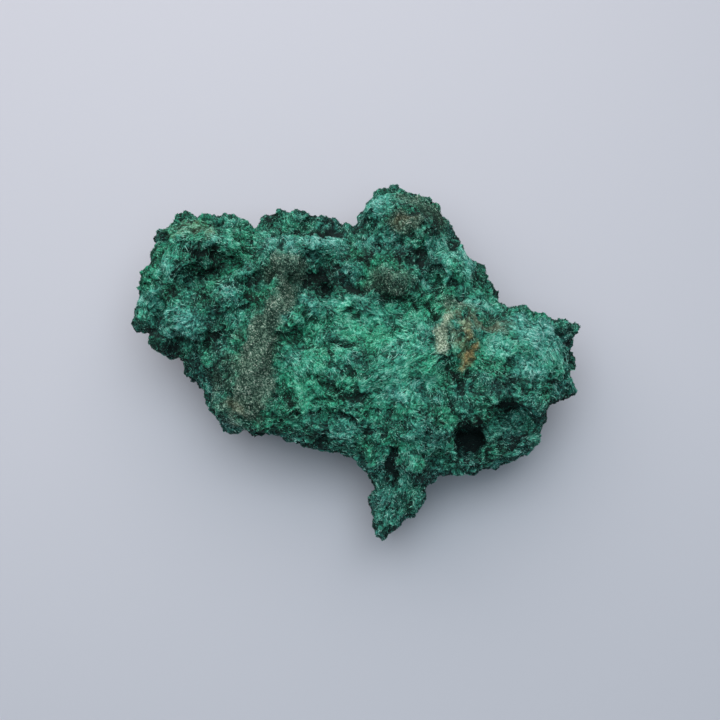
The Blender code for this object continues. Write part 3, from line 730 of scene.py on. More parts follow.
# %% [markdown]
# ## How far each spot may move
# The relief is not the same everywhere. Crusts are caked smooth, silk lies flat over what is under it,
# steep walls show less of the tufts, and the worn spots that the lump rests on stay as they are. Each of
# these is a number from 0 to 1 on the skin, and they are multiplied together.

# %% How far each spot may move
CAKED_SMOOTH = 0.75           # share of the relief that a crust hides
SILKED_SMOOTH = 0.70          # share that silk hides
LEAST_RELIEF = 0.15           # what is left where both hide it

spot = node(skin_tree, "GeometryNodeInputPosition").outputs["Position"]
outside = node(skin_tree, "GeometryNodeInputNormal").outputs["Normal"]
caked = calc(skin_tree, "MAXIMUM", named(skin_tree, "crust"), named(skin_tree, "ochre"))
caked = calc(skin_tree, "MAXIMUM", caked, named(skin_tree, "pale"))
bare = calc(skin_tree, "MULTIPLY_ADD", caked, -CAKED_SMOOTH, 1.0)
silk = calc(skin_tree, "MULTIPLY_ADD", named(skin_tree, "silk"), -SILKED_SMOOTH, bare)
rested = remap(skin_tree, height_of(skin_tree, spot), 0.2 * MM, 2.4 * MM, 0.0, 1.0)
silk = calc(skin_tree, "MULTIPLY", calc(skin_tree, "MAXIMUM", silk, LEAST_RELIEF), rested)
level = remap(skin_tree, named(skin_tree, "facing"), 0.0, 0.6, 0.5, 1.0)
level = calc(skin_tree, "MULTIPLY", level, rested)

# %% [markdown]
# ## Domes, cracks and pits
# Big and small cells give big and small domes. A crack follows the line where a noise crosses its middle
# value, which winds and never ends abruptly, as a real crack does. A pit opens where another noise is low.
# Each is a height from 0 to 1, scaled by its input and added up.

# %% Domes, cracks and pits
BIG_TUFT = 3.6 * MM
SMALL_TUFT = 1.6 * MM
CRACKS = (                    # spacing, raggedness, width and share of the depth
    (6.5 * MM, 3, 0.030, 1.0),
    (2.6 * MM, 2, 0.045, 0.7),
    (1.5 * MM, 2, 0.040, 0.4),
)
GASH_SHARE = 1.6              # a gash against the deepest crack
SETTLED = 1.0 * MM            # the domes are let in by this much, so the lump keeps its size

big = node(skin_tree, "GeometryNodeGroup", {"Tuft Size": BIG_TUFT}, node_tree=cells_tree)
small = node(skin_tree, "GeometryNodeGroup", {"Tuft Size": SMALL_TUFT}, node_tree=cells_tree)
for cells in (big, small):
    skin_tree.links.new(spot, cells.inputs["Position"])
dome = dome_over(skin_tree, big.outputs["Reach"])
knob = dome_over(skin_tree, small.outputs["Reach"])
crack = calc(skin_tree, "MULTIPLY", named(skin_tree, "gash"), GASH_SHARE)
for spacing, detail, width, share in CRACKS:
    winding = calc(skin_tree, "MULTIPLY", creases(skin_tree, spot, spacing, detail, width), share)
    crack = calc(skin_tree, "MAXIMUM", crack, winding)
pit = remap(skin_tree, noise_at(skin_tree, spot, 3.6 * MM, 2), 0.32, 0.41, 1.0, 0.0)
lift = calc(skin_tree, "MULTIPLY", dome, given["Dome Height"])
lift = calc(skin_tree, "MULTIPLY_ADD", knob, given["Knob Height"], lift)
lift = calc(skin_tree, "MULTIPLY_ADD", named(skin_tree, "boss"), given["Boss Height"], lift)
lift = calc(skin_tree, "SUBTRACT", lift, calc(skin_tree, "MULTIPLY", crack, given["Crack Depth"]))
lift = calc(skin_tree, "SUBTRACT", lift, calc(skin_tree, "MULTIPLY", pit, given["Pit Depth"]))
lift = calc(skin_tree, "SUBTRACT", lift, SETTLED)
lift = calc(skin_tree, "MULTIPLY", lift, calc(skin_tree, "MULTIPLY", silk, level))

# %% Plates, swells and a push sideways
plate = calc(skin_tree, "SUBTRACT", small.outputs["Tone"], 0.5)
plate = calc(skin_tree, "MULTIPLY", plate, given["Plate Height"])
lift = calc(skin_tree, "MULTIPLY_ADD", plate, calc(skin_tree, "MULTIPLY", bare, level), lift)
swell = calc(skin_tree, "SUBTRACT", named(skin_tree, "swell"), named(skin_tree, "slump"))
lift = calc(skin_tree, "MULTIPLY_ADD", swell, given["Swell Height"], lift)
aside = wavy(skin_tree, spot, 2.8 * MM, 1)
aside = scaled(skin_tree, aside, calc(skin_tree, "MULTIPLY", rested, given["Sideways"]))
push = vector_calc(skin_tree, "ADD", scaled(skin_tree, outside, lift), aside)

# %% [markdown]
# ## Strands
# A bundle of fibres shows as fine parallel ridges. They come from a noise that is read at seven places in a
# row, along the way that the fibres lie, and averaged: its lumps are smeared into strands. Where a combing
# stroke passes, the strands follow it, and elsewhere they lean out of their tuft.

# %% Strands, and how high each spot stands in its tuft
COMB_PULL = 1.4               # a combing stroke against the tuft's own lean
CROWN_LEVEL = 0.48            # the crown of a plain spot
CROWN_BY_GRAIN = 1.1

grain = calc(skin_tree, "SUBTRACT", noise_at(skin_tree, spot, 0.9 * MM, 3), 0.5)
combing = marked(skin_tree, "combing")
free = calc(skin_tree, "MULTIPLY_ADD", length_of(skin_tree, combing), -1.0, 1.0)
lean = vector_calc(skin_tree, "ADD", scaled(skin_tree, big.outputs["Lean"], free),
                   scaled(skin_tree, combing, COMB_PULL))
lean = vector_calc(skin_tree, "NORMALIZE", lean)
comb = combed(skin_tree, spot, lean)
# The crown later sets painted shade in the creases, and fewer fibres grow there.
crown = calc(skin_tree, "MULTIPLY_ADD", grain, CROWN_BY_GRAIN, CROWN_LEVEL)
for height, part in ((comb, 2.4), (knob, 0.12), (dome, 0.14), (crack, -0.55), (pit, -0.45)):
    crown = calc(skin_tree, "MULTIPLY_ADD", height, part, crown)
fine = calc(skin_tree, "MULTIPLY", grain, given["Grain Height"])
fine = calc(skin_tree, "MULTIPLY_ADD", comb, given["Comb Height"], fine)
open_skin = calc(skin_tree, "MULTIPLY_ADD", silk, 0.6, 0.4)
fine = calc(skin_tree, "MULTIPLY", fine, calc(skin_tree, "MULTIPLY", rested, open_skin))

# %% Store, then move the skin
# Everything is worked out on the untouched skin and stored, and only then is the skin moved, twice.
shape = given["Geometry"]
for name, value, kind in (("crown", crown, "FLOAT"), ("fine", fine, "FLOAT"),
                          ("tuft", big.outputs["Tone"], "FLOAT"),
                          ("flake", small.outputs["Tone"], "FLOAT"), ("lean", lean, "FLOAT_VECTOR")):
    shape = mark(skin_tree, shape, name, value, kind)
shape = node(skin_tree, "GeometryNodeSetPosition", {"Geometry": shape, "Offset": push}).outputs["Geometry"]
outward = node(skin_tree, "GeometryNodeInputNormal").outputs["Normal"]
rough = scaled(skin_tree, outward, named(skin_tree, "fine"))
shape = node(skin_tree, "GeometryNodeSetPosition", {"Geometry": shape, "Offset": rough}).outputs["Geometry"]
node(skin_tree, "NodeGroupOutput", {"Geometry": above_table(skin_tree, shape)})
run_tree(stone, skin_tree)
print("the relief tree has", len(skin_tree.nodes), "nodes")

# %% [markdown]
# ## Fewer triangles
# The grid is finer than it has to be where the skin is flat. Decimate merges the corners that matter least,
# and carries the stored numbers along, down to a count that stays light enough to hand on.

# %% Thin the grid where it is flat
STONE_TRIANGLES = 196000

thin = stone.modifiers.new("thin", "DECIMATE")
thin.ratio = min(1.0, STONE_TRIANGLES / triangles(stone))
apply_modifiers(stone)
print("stone triangles:", triangles(stone))

# %% [markdown]
# ## Fibres
# Each fibre is a needle one or two tenths of a millimetre thick and a third of a millimetre to two long. It
# is a cone with a three-sided base: four triangles, closed, and ten where it has a joint to bend at.
# Geometry Nodes scatter points on the skin, and lay a needle at each point along the lean that the relief
# has stored, with a little stray. There are fewer in creases, on crust and underneath. Hair curves would be
# lighter to draw, but only plain mesh can be handed on.

# %% Helpers for scattering
def random_between(tree, low, high, seed_step):
    """A random number for each point, from the tree's own seed."""
    own = next(made for made in tree.nodes if made.bl_idname == "NodeGroupInput")
    seed = calc(tree, "ADD", own.outputs["Seed"], seed_step)
    keys = {2: low, 3: high, "Seed": seed}
    return node(tree, "FunctionNodeRandomValue", keys, data_type="FLOAT").outputs[1]


def facing_up(tree):
    """How far a face looks up, from -1 to 1."""
    return height_of(tree, node(tree, "GeometryNodeInputNormal").outputs["Normal"])


def scattered(tree, density, given):
    """Points on the skin, so many to the square metre."""
    keys = {"Mesh": given["Geometry"], "Density": density, "Seed": given["Seed"]}
    return node(tree, "GeometryNodeDistributePointsOnFaces", keys, distribute_method="RANDOM")


# %% What a nap of fibres can be told
nap_inputs = (
    ("Geometry", "NodeSocketGeometry", None),
    ("Fibres per Square Millimetre", "NodeSocketFloat", 4.0),
    ("Underside Share", "NodeSocketFloat", 0.4),
    ("Crust Share", "NodeSocketFloat", 0.12),
    ("Crease Share", "NodeSocketFloat", 0.25),
    ("Plate Share", "NodeSocketFloat", 0.3),
    ("Length", "NodeSocketFloat", 1.2 * MM),
    ("Short Share", "NodeSocketFloat", 0.72),
    ("Width", "NodeSocketFloat", 0.2 * MM),
    ("Rise", "NodeSocketFloat", 0.15 * MM),
    ("Stray", "NodeSocketFloat", 2.2),
    ("Curl", "NodeSocketFloat", 0.5 * MM),
    ("Root Depth", "NodeSocketFloat", 0.08 * MM),
    ("Joints", "NodeSocketInt", 1),
    ("Tone", "NodeSocketFloat", 0.0),
    ("Seed", "NodeSocketInt", 1),
    ("Material", "NodeSocketMaterial", None),
)
nap_tree, given = new_tree("nap", nap_inputs)
nap_tree.interface.new_socket(name="Geometry", in_out="OUTPUT", socket_type="NodeSocketGeometry")
print("a nap has", len(nap_inputs) - 1, "inputs")

# %% How thickly fibres grow, and how they lean
PER_SQUARE_METRE = 1e6

share = remap(nap_tree, facing_up(nap_tree), -0.45, 0.05, given["Underside Share"], 1.0)
crust_share = remap(nap_tree, named(nap_tree, "crust"), 0.15, 0.75, 1.0, given["Crust Share"])
crease_share = remap(nap_tree, named(nap_tree, "crown"), 0.15, 0.5, given["Crease Share"], 1.0)
plate_share = remap(nap_tree, named(nap_tree, "flake"), 0.36, 0.44, given["Plate Share"], 1.0)
share = calc(nap_tree, "MULTIPLY", calc(nap_tree, "MULTIPLY", share, crust_share),
             calc(nap_tree, "MULTIPLY", plate_share, crease_share))
per_metre = calc(nap_tree, "MULTIPLY", given["Fibres per Square Millimetre"], PER_SQUARE_METRE)
scatter = scattered(nap_tree, calc(nap_tree, "MULTIPLY", share, per_metre), given)
normal = scatter.outputs["Normal"]
place = node(nap_tree, "GeometryNodeInputPosition").outputs["Position"]
stray = wavy(nap_tree, place, 0.5 * MM, 0)
lean = vector_calc(nap_tree, "ADD", marked(nap_tree, "lean"), scaled(nap_tree, stray, given["Stray"]))
off_surface = node(nap_tree, "ShaderNodeVectorMath", {0: lean, 1: normal},
                   operation="DOT_PRODUCT").outputs["Value"]
lean = vector_calc(nap_tree, "NORMALIZE",
                   vector_calc(nap_tree, "SUBTRACT", lean, scaled(nap_tree, normal, off_surface)))
turn = node(nap_tree, "FunctionNodeAlignRotationToVector", {"Vector": lean}, axis="Z").outputs["Rotation"]
turn = node(nap_tree, "FunctionNodeAlignRotationToVector", {"Rotation": turn, "Vector": normal},
            axis="X", pivot_axis="Z").outputs["Rotation"]

# %% How long and thick each fibre is
FLATNESS = 0.55               # a needle's height off the skin against its width
LONGEST_ON_SILK = 1.15

long_side = calc(nap_tree, "MULTIPLY", given["Length"], random_between(nap_tree, 0.5, 1.4, 31))
silky = remap(nap_tree, named(nap_tree, "silk"), 0.0, 0.8, given["Short Share"], LONGEST_ON_SILK)
long_side = calc(nap_tree, "MULTIPLY", long_side, silky)
across = calc(nap_tree, "MULTIPLY", given["Width"], random_between(nap_tree, 0.35, 0.75, 37))
high = calc(nap_tree, "MULTIPLY", across, FLATNESS)
size = node(nap_tree, "ShaderNodeCombineXYZ", {"X": high, "Y": across, "Z": long_side}).outputs["Vector"]
rooted = mark(nap_tree, scatter.outputs["Points"], "strand", random_between(nap_tree, 0.0, 1.0, 23))
rooted = mark(nap_tree, rooted, "tone", given["Tone"])
rooted = mark(nap_tree, rooted, "root", place, "FLOAT_VECTOR")
rooted = mark(nap_tree, rooted, "way", scaled(nap_tree, lean, long_side), "FLOAT_VECTOR")

# %% The needle
MIDDLE_BULGE = 1.7            # a jointed needle is this much thicker at its joint than a straight cone

needle = node(nap_tree, "GeometryNodeMeshCone",
              {"Vertices": 3, "Side Segments": given["Joints"], "Radius Top": 0.0, "Radius Bottom": 1.0,
               "Depth": 1.0}, fill_type="NGON").outputs["Mesh"]
own_place = node(nap_tree, "GeometryNodeInputPosition").outputs["Position"]
bulge = remap(nap_tree, height_of(nap_tree, own_place), 0.4, 0.6, 1.0, MIDDLE_BULGE)
bulge = node(nap_tree, "ShaderNodeCombineXYZ", {"X": bulge, "Y": bulge, "Z": 1.0}).outputs["Vector"]
bulged = vector_calc(nap_tree, "MULTIPLY", own_place, bulge)
needle = node(nap_tree, "GeometryNodeSetPosition",
              {"Geometry": needle, "Position": bulged}).outputs["Geometry"]
needle = mark(nap_tree, needle, "along", height_of(nap_tree, own_place))
grown = node(nap_tree, "GeometryNodeInstanceOnPoints",
             {"Points": rooted, "Instance": needle, "Rotation": turn, "Scale": size})
real = node(nap_tree, "GeometryNodeRealizeInstances",
            {"Geometry": grown.outputs["Instances"]}).outputs["Geometry"]

# %% [markdown]
# ## Draping
# A straight needle would stab through the next knob or stand off over a hollow. So each corner of a needle
# is taken apart: its place along the needle's middle line, and its small step away from that line. The
# middle line is swayed by a noise, brought to the nearest spot of the skin and lifted along the skin's
# normal, and the step is added again. The root is sunk a little, so that no end is seen from below.

# %% Drape every fibre over the skin
SWAY_SPREAD = 2.0 * MM        # neighbours sway by different parts of the noise, this far apart

along = named(nap_tree, "along")
middle = vector_calc(nap_tree, "ADD", marked(nap_tree, "root"),
                     scaled(nap_tree, marked(nap_tree, "way"), along))
here = node(nap_tree, "GeometryNodeInputPosition").outputs["Position"]
around = vector_calc(nap_tree, "SUBTRACT", here, middle)
shuffle = scaled(nap_tree, (0.7, 0.5, 0.6),
                 calc(nap_tree, "MULTIPLY", named(nap_tree, "strand"), SWAY_SPREAD))
sway = wavy(nap_tree, vector_calc(nap_tree, "ADD", middle, shuffle), 1.1 * MM, 0)
sway = scaled(nap_tree, sway,
              calc(nap_tree, "MULTIPLY", given["Curl"], calc(nap_tree, "MULTIPLY", along, along)))
swayed = vector_calc(nap_tree, "ADD", middle, sway)


def nearest_on_skin(tree, given, value, sample):
    """A vector of the skin, read at the spot nearest to a place."""
    keys = {"Mesh": given["Geometry"], "Value": value, "Sample Position": sample}
    made = node(tree, "GeometryNodeSampleNearestSurface", keys, data_type="FLOAT_VECTOR")
    return made.outputs["Value"]


on_skin = nearest_on_skin(nap_tree, given, here, swayed)
skin_normal = node(nap_tree, "GeometryNodeInputNormal").outputs["Normal"]
off_skin = nearest_on_skin(nap_tree, given, skin_normal, swayed)
root_height = calc(nap_tree, "MULTIPLY", given["Root Depth"], -1.0)
rise = remap(nap_tree, along, 0.0, 1.0, root_height, given["Rise"])
draped = vector_calc(nap_tree, "ADD", on_skin, scaled(nap_tree, off_skin, rise))
draped = vector_calc(nap_tree, "ADD", draped, around)
laid = node(nap_tree, "GeometryNodeSetPosition", {"Geometry": real, "Position": draped}).outputs["Geometry"]


def finish_tree(tree, geometry, given):
    """Ends a tree: nothing in the table, and one material."""
    keys = {"Geometry": above_table(tree, geometry), "Material": given["Material"]}
    dressed = node(tree, "GeometryNodeSetMaterial", keys).outputs["Geometry"]
    node(tree, "NodeGroupOutput", {"Geometry": dressed})
    print(tree.name, "tree has", len(tree.nodes), "nodes")


finish_tree(nap_tree, laid, given)

# %% [markdown]
# ## Grains
# The dull crust and the stains are not fibrous. They are fine grit, caked on. Each grain is the plainest
# closed shape there is, an eight-sided bead, turned and stretched at random so that no two look alike from
# above.

# %% The tree that scatters grains
grain_inputs = (
    ("Geometry", "NodeSocketGeometry", None),
    ("Grains per Square Millimetre", "NodeSocketFloat", 20.0),
    ("Share off the Crust", "NodeSocketFloat", 0.05),
    ("Underside Share", "NodeSocketFloat", 0.3),
    ("Grain Size", "NodeSocketFloat", 0.3 * MM),
    ("Seed", "NodeSocketInt", 1),
    ("Material", "NodeSocketMaterial", None),
)
grain_tree, given = new_tree("grains", grain_inputs)
grain_tree.interface.new_socket(name="Geometry", in_out="OUTPUT", socket_type="NodeSocketGeometry")
dull = calc(grain_tree, "MAXIMUM", named(grain_tree, "crust"), named(grain_tree, "ochre"))
dull = calc(grain_tree, "MAXIMUM", dull, named(grain_tree, "pale"))
on_crust = remap(grain_tree, dull, 0.2, 0.7, given["Share off the Crust"], 1.0)
above = remap(grain_tree, facing_up(grain_tree), -0.45, 0.05, given["Underside Share"], 1.0)
density = calc(grain_tree, "MULTIPLY", calc(grain_tree, "MULTIPLY", on_crust, above),
               calc(grain_tree, "MULTIPLY", given["Grains per Square Millimetre"], PER_SQUARE_METRE))
scatter = scattered(grain_tree, density, given)
toned = mark(grain_tree, scatter.outputs["Points"], "strand", random_between(grain_tree, 0.0, 1.0, 23))
seed_grain = node(grain_tree, "GeometryNodeMeshUVSphere", {"Segments": 4, "Rings": 2, "Radius": 0.5})


def random_vector(tree, low, high, seed):
    """Three random numbers for each point, between the same two limits."""
    keys = {0: (low, low, low), 1: (high, high, high), "Seed": seed}
    return node(tree, "FunctionNodeRandomValue", keys, data_type="FLOAT_VECTOR").outputs[0]


any_way = random_vector(grain_tree, -3.1, 3.1, given["Seed"])
any_size = random_vector(grain_tree, 0.45, 1.3, calc(grain_tree, "ADD", given["Seed"], 5))
grown = node(grain_tree, "GeometryNodeInstanceOnPoints",
             {"Points": toned, "Instance": seed_grain.outputs["Mesh"], "Rotation": any_way,
              "Scale": scaled(grain_tree, any_size, given["Grain Size"])})
real = node(grain_tree, "GeometryNodeRealizeInstances", {"Geometry": grown.outputs["Instances"]})
finish_tree(grain_tree, real.outputs["Geometry"], given)

# %% [markdown]
# ## Colours
# The tones run from black-green to a pale silky green. The black-green is painted shade in the creases and
# at the fibres' roots. One shader group holds all of its tones, so that the stone and every fibre on it
# agree.
# It takes a single number for how light a spot is, and the painted strokes, and gives the colour. The stone
# and the fibres differ only in how they work that number out.

# %% The ramps, from the darkest creases to the lightest tips
GREEN = ((0.0, (0.006, 0.019, 0.014)), (0.3, (0.017, 0.120, 0.072)), (0.6, (0.036, 0.375, 0.215)),
         (0.85, (0.095, 0.610, 0.390)), (1.0, (0.300, 0.810, 0.600)))
TEAL = ((0.0, (0.010, 0.026, 0.026)), (0.3, (0.026, 0.125, 0.106)), (0.6, (0.074, 0.365, 0.300)),
        (0.85, (0.180, 0.605, 0.510)), (1.0, (0.460, 0.830, 0.760)))
GREY = ((0.25, (0.018, 0.048, 0.034)), (0.5, (0.098, 0.190, 0.135)), (0.75, (0.285, 0.410, 0.315)),
        (0.95, (0.700, 0.740, 0.640)))
RUST = ((0.0, (0.160, 0.135, 0.060)), (0.5, (0.540, 0.385, 0.160)), (1.0, (0.860, 0.640, 0.340)))
CREAM = ((0.0, (0.160, 0.225, 0.160)), (0.4, (0.540, 0.690, 0.500)), (1.0, (0.900, 0.940, 0.820)))
PAINTED_SHADE_COLOR = (0.004, 0.010, 0.010, 1.0)
PAINTED_SHADE_COVER = 0.38             # how much of the colour the painted shade hides
# Lightness added by each stroke: the shade strokes darken as painted shade, silk lightens partly as a
# painted sheen, mint is a little paler in its own colour.
LIGHTENED_BY = (("Painted_shade", -0.32), ("Silk", 0.27), ("Mint", 0.08))
CRUST_COVER = 0.9
STROKE_NAMES = ("Crust", "Ochre", "Pale", "Mint", "Silk", "Painted_shade")


def ramp(tree, value, stops):
    """The colour at a value from 0 to 1, between the stops."""
    made = node(tree, "ShaderNodeValToRGB", {"Fac": value})
    bands = made.color_ramp.elements
    while len(bands) < len(stops):
        bands.new(0.5)
    for band, (at, color) in zip(bands, stops):
        band.position = at
        band.color = (*color, 1.0)
    return made.outputs["Color"]


def blend(tree, factor, under, over):
    """One colour laid over another."""
    return node(tree, "ShaderNodeMix", {0: factor, 6: under, 7: over}, data_type="RGBA").outputs[2]


# %% The shared group of tones
def tones_group():
    """A shader group from a lightness and the painted strokes to malachite's colour."""
    inputs = [("Vector", "NodeSocketVector", None), ("Lightness", "NodeSocketFloat", 0.5)]
    inputs += [(label, "NodeSocketFloat", 0.0) for label in STROKE_NAMES]
    tree, given = new_tree("malachite_tones", inputs, "ShaderNodeTree")
    tree.interface.new_socket(name="Color", in_out="OUTPUT", socket_type="NodeSocketColor")
    place = given["Vector"]
    lightness = given["Lightness"]
    for label, amount in LIGHTENED_BY:
        lightness = calc(tree, "MULTIPLY_ADD", given[label], amount, lightness)
    # The low parts, rims among them, are bluer: a painted bluish shade, as from the sky. Some patches are
    # bluer in their own colour.
    blueness = remap(tree, noise_at(tree, place, 6 * MM, 3), 0.35, 0.65, -0.35, 0.40)
    painted_blue_shade = remap(tree, height_of(tree, place), 13 * MM, 26 * MM, 0.95, 0.22)
    blueness = calc(tree, "ADD", blueness, painted_blue_shade)
    blueness = calc(tree, "MINIMUM", calc(tree, "MAXIMUM", blueness, 0.0), 1.0)
    teal = ramp(tree, lightness, TEAL)
    body = blend(tree, blueness, ramp(tree, lightness, GREEN), teal)
    body = blend(tree, given["Mint"], body, teal)
    speckle = noise_at(tree, place, 0.35 * MM, 2)
    grit = calc(tree, "ADD", calc(tree, "MULTIPLY", speckle, 1.2),
                calc(tree, "MULTIPLY_ADD", lightness, 0.8, -0.40))
    body = blend(tree, calc(tree, "MULTIPLY", given["Crust"], CRUST_COVER), body, ramp(tree, grit, GREY))
    body = blend(tree, given["Ochre"], body, ramp(tree, lightness, RUST))
    pitted = calc(tree, "ADD", lightness, remap(tree, speckle, 0.35, 0.65, -0.7, 0.25))
    body = blend(tree, given["Pale"], body, ramp(tree, pitted, CREAM))
    # Painted shade: under the shade strokes the colour is pulled towards near black.
    body = blend(tree, given["Painted_shade"], body, blend(tree, PAINTED_SHADE_COVER, body, PAINTED_SHADE_COLOR))
    node(tree, "NodeGroupOutput", {"Color": body})
    print("the tones have", len(tree.nodes), "nodes")
    return tree


tones = tones_group()

# %% [markdown]
# ## Streaks
# Fibres are finer than any needle that can be modelled here, so the stone and the needles also carry
# streaks in their colour, drawn out along the lean that the relief has stored. The noise is the same
# smeared one that made the strands, at half the size, in a shader group of its own, because both materials
# use it.

# %% The shared group of streaks
def streaks_group():
    """A shader group whose value runs from 0 to 1 in fine streaks along a direction."""
    inputs = (("Vector", "NodeSocketVector", None), ("Lean", "NodeSocketVector", None))
    tree, given = new_tree("malachite_streaks", inputs, "ShaderNodeTree")
    tree.interface.new_socket(name="Streak", in_out="OUTPUT", socket_type="NodeSocketFloat")
    streak = combed(tree, given["Vector"], given["Lean"], 0.32 * MM, 0.22 * MM)
    node(tree, "NodeGroupOutput", {"Streak": remap(tree, streak, -0.09, 0.09, 0.0, 1.0)})
    print("the streaks have", len(tree.nodes), "nodes")
    return tree


streaks = streaks_group()

# %% [markdown]
# ## Three materials
# The stone, the fibres and the grains share the tones and differ in how light each spot is. That is a sum
# of a few parts, each a stored number or a noise carried to its own small range. Roots darker than tips,
# creases darker than crowns and steep walls darker than tops are painted shade; the rare bright strands are
# partly painted glints, and no two strands are alike.

# %% Helpers for materials
def attribute(tree, name):
    """A number stored on the surface, in a material."""
    return node(tree, "ShaderNodeAttribute", attribute_name=name).outputs["Fac"]


DULLED_SHINE = 0.25           # of the usual half: malachite's fibres scatter most of the light


def toned_material(name, lightness, roughness, bump=None):
    """A material whose colour comes from the tones, with lightness worked out by the function given."""
    material = bpy.data.materials.new(name)
    material.use_nodes = True
    tree = material.node_tree
    place = node(tree, "ShaderNodeTexCoord").outputs["Object"]
    keys = {"Vector": place, "Lightness": lightness(tree, place)}
    keys.update({label: attribute(tree, label.lower()) for label in STROKE_NAMES})
    made = node(tree, "ShaderNodeGroup", node_tree=tones)
    for label, value in keys.items():
        tree.links.new(value, made.inputs[label])
    surface = tree.nodes["Principled BSDF"]
    tree.links.new(made.outputs["Color"], surface.inputs["Base Color"])
    surface.inputs["Roughness"].default_value = roughness
    surface.inputs["Specular IOR Level"].default_value = DULLED_SHINE
    if bump:
        tree.links.new(bump(tree, place), surface.inputs["Normal"])
    print(name, "has", len(tree.nodes), "nodes")
    return material


def brushed_at(tree, place):
    """The streaks of the tuft that a spot belongs to."""
    lean = node(tree, "ShaderNodeAttribute", attribute_name="lean").outputs["Vector"]
    drawn = node(tree, "ShaderNodeGroup", {"Vector": place, "Lean": lean}, node_tree=streaks)
    return drawn.outputs["Streak"]


def flank_shade(tree):
    """Painted shade: steep walls and the underside are darker than what faces the sky."""
    return remap(tree, attribute(tree, "facing"), -0.1, 0.6, -0.34, 0.04)


# %% The stone's material
def stone_lightness(tree, place):
    """Painted shade in the creases and on steep walls, lighter crowns, and a fine noise."""
    fine = remap(tree, noise_at(tree, place, 0.5 * MM, 3), 0.3, 0.7, -0.30, 0.16)
    broad = remap(tree, noise_at(tree, place, 4.0 * MM, 2), 0.3, 0.7, -0.08, 0.10)
    # Painted shade: creases are darker and crowns lighter.
    crown = remap(tree, attribute(tree, "crown"), 0.1, 1.0, 0.0, 0.74)
    streak = remap(tree, brushed_at(tree, place), 0.0, 1.0, -0.22, 0.22)
    total = calc(tree, "ADD", calc(tree, "ADD", fine, broad), calc(tree, "ADD", crown, flank_shade(tree)))
    return calc(tree, "ADD", total, streak)


def stone_bump(tree, place):
    """A grain finer than the mesh."""
    fine = noise_at(tree, place, 0.45 * MM, 3)
    bump = node(tree, "ShaderNodeBump", {"Height": fine, "Distance": 0.25 * MM, "Strength": 0.8})
    return bump.outputs["Normal"]


stone_material = toned_material("malachite_stone", stone_lightness, 0.75, stone_bump)

# %% The fibres' material
FIBRE_LIGHTNESS = 0.58        # of a plain fibre, before its parts are added
FEW_BRIGHT = 3.0              # the power that makes bright strands rare; the rare bright ones are partly painted glints


def fibre_lightness(tree, place):
    """Painted shade at the roots and in the creases, lighter tips, and every strand, flake and tuft a
    little different.
    """
    # Painted shade: each fibre darkens towards its root, where the others shade it.
    parts = [remap(tree, attribute(tree, "along"), 0.0, 0.8, -0.25, 0.22)]
    # The strands differ in tone at random; the rare bright ones are partly painted glints.
    mostly_dark = calc(tree, "POWER", attribute(tree, "strand"), FEW_BRIGHT)
    parts.append(remap(tree, mostly_dark, 0.0, 1.0, -0.32, 0.76))
    parts.append(remap(tree, attribute(tree, "tuft"), 0.0, 1.0, -0.08, 0.10))
    parts.append(remap(tree, attribute(tree, "flake"), 0.0, 1.0, -0.08, 0.10))
    # Painted shade: creases darker, crowns lighter.
    parts.append(remap(tree, attribute(tree, "crown"), 0.15, 0.95, -0.42, 0.30))
    parts.append(remap(tree, noise_at(tree, place, 5.0 * MM, 2), 0.35, 0.65, -0.12, 0.12))
    parts.append(remap(tree, noise_at(tree, place, 0.5 * MM, 3), 0.3, 0.7, -0.12, 0.10))
    parts.append(remap(tree, brushed_at(tree, place), 0.0, 1.0, -0.30, 0.30))
    parts.append(attribute(tree, "tone"))
    parts.append(flank_shade(tree))
    total = FIBRE_LIGHTNESS
    for part in parts:
        total = calc(tree, "ADD", total, part)
    return total


fibre_material = toned_material("malachite_fibres", fibre_lightness, 0.45)

# %% The grains' material
PALE_GRAINS = 2.5             # the power that makes pale grains rare


def grain_lightness(tree, place):
    """Every grain has its own tone, and painted shade makes it darker in a crease."""
    tone = remap(tree, calc(tree, "POWER", attribute(tree, "strand"), PALE_GRAINS), 0.0, 1.0, 0.20, 1.0)
    return calc(tree, "ADD", tone, remap(tree, attribute(tree, "crown"), 0.2, 0.9, -0.20, 0.08))


grain_material = toned_material("malachite_grains", grain_lightness, 0.65)

# %% [markdown]
# ## Growing it all
# One nap would look like a carpet. Four of them, laid over each other, do not: a dark undercoat that hides
# the stone, the silk, a few long wisps, and short curls that lift off the skin and catch the light. The
# same tree grows each, with its own lengths and seed. The grains come last.

# %% Grow the naps
# Name, then the nap tree's inputs.
UNDERNEATH = 0.22             # how thickly fibres grow underneath
NAPS = (
    ("undercoat", dict(Fibres_per_Square_Millimetre=5.1, Length=0.55 * MM, Width=0.28 * MM, Rise=0.05 * MM,
                       Curl=0.5 * MM, Joints=1, Tone=-0.18, Plate_Share=1.0, Seed=3)),
    ("silk", dict(Fibres_per_Square_Millimetre=6.6, Length=0.85 * MM, Width=0.22 * MM, Rise=0.12 * MM,
                  Curl=0.8 * MM, Joints=1, Tone=0.02, Seed=5)),
    ("wisps", dict(Fibres_per_Square_Millimetre=2.6, Length=1.2 * MM, Width=0.15 * MM, Rise=0.22 * MM,
                   Curl=1.5 * MM, Joints=2, Tone=0.05, Seed=7)),
    ("curls", dict(Fibres_per_Square_Millimetre=6.6, Length=0.55 * MM, Width=0.24 * MM, Rise=0.24 * MM,
                   Curl=0.8 * MM, Joints=1, Tone=0.05, Seed=9)),
)

dressing = []
for name, sizes in NAPS:
    nap = add(name, stone.data.copy())
    run_tree(nap, nap_tree, Underside_Share=UNDERNEATH, Material=fibre_material, **sizes)
    dressing.append(nap)
    print(name, "triangles:", triangles(nap))

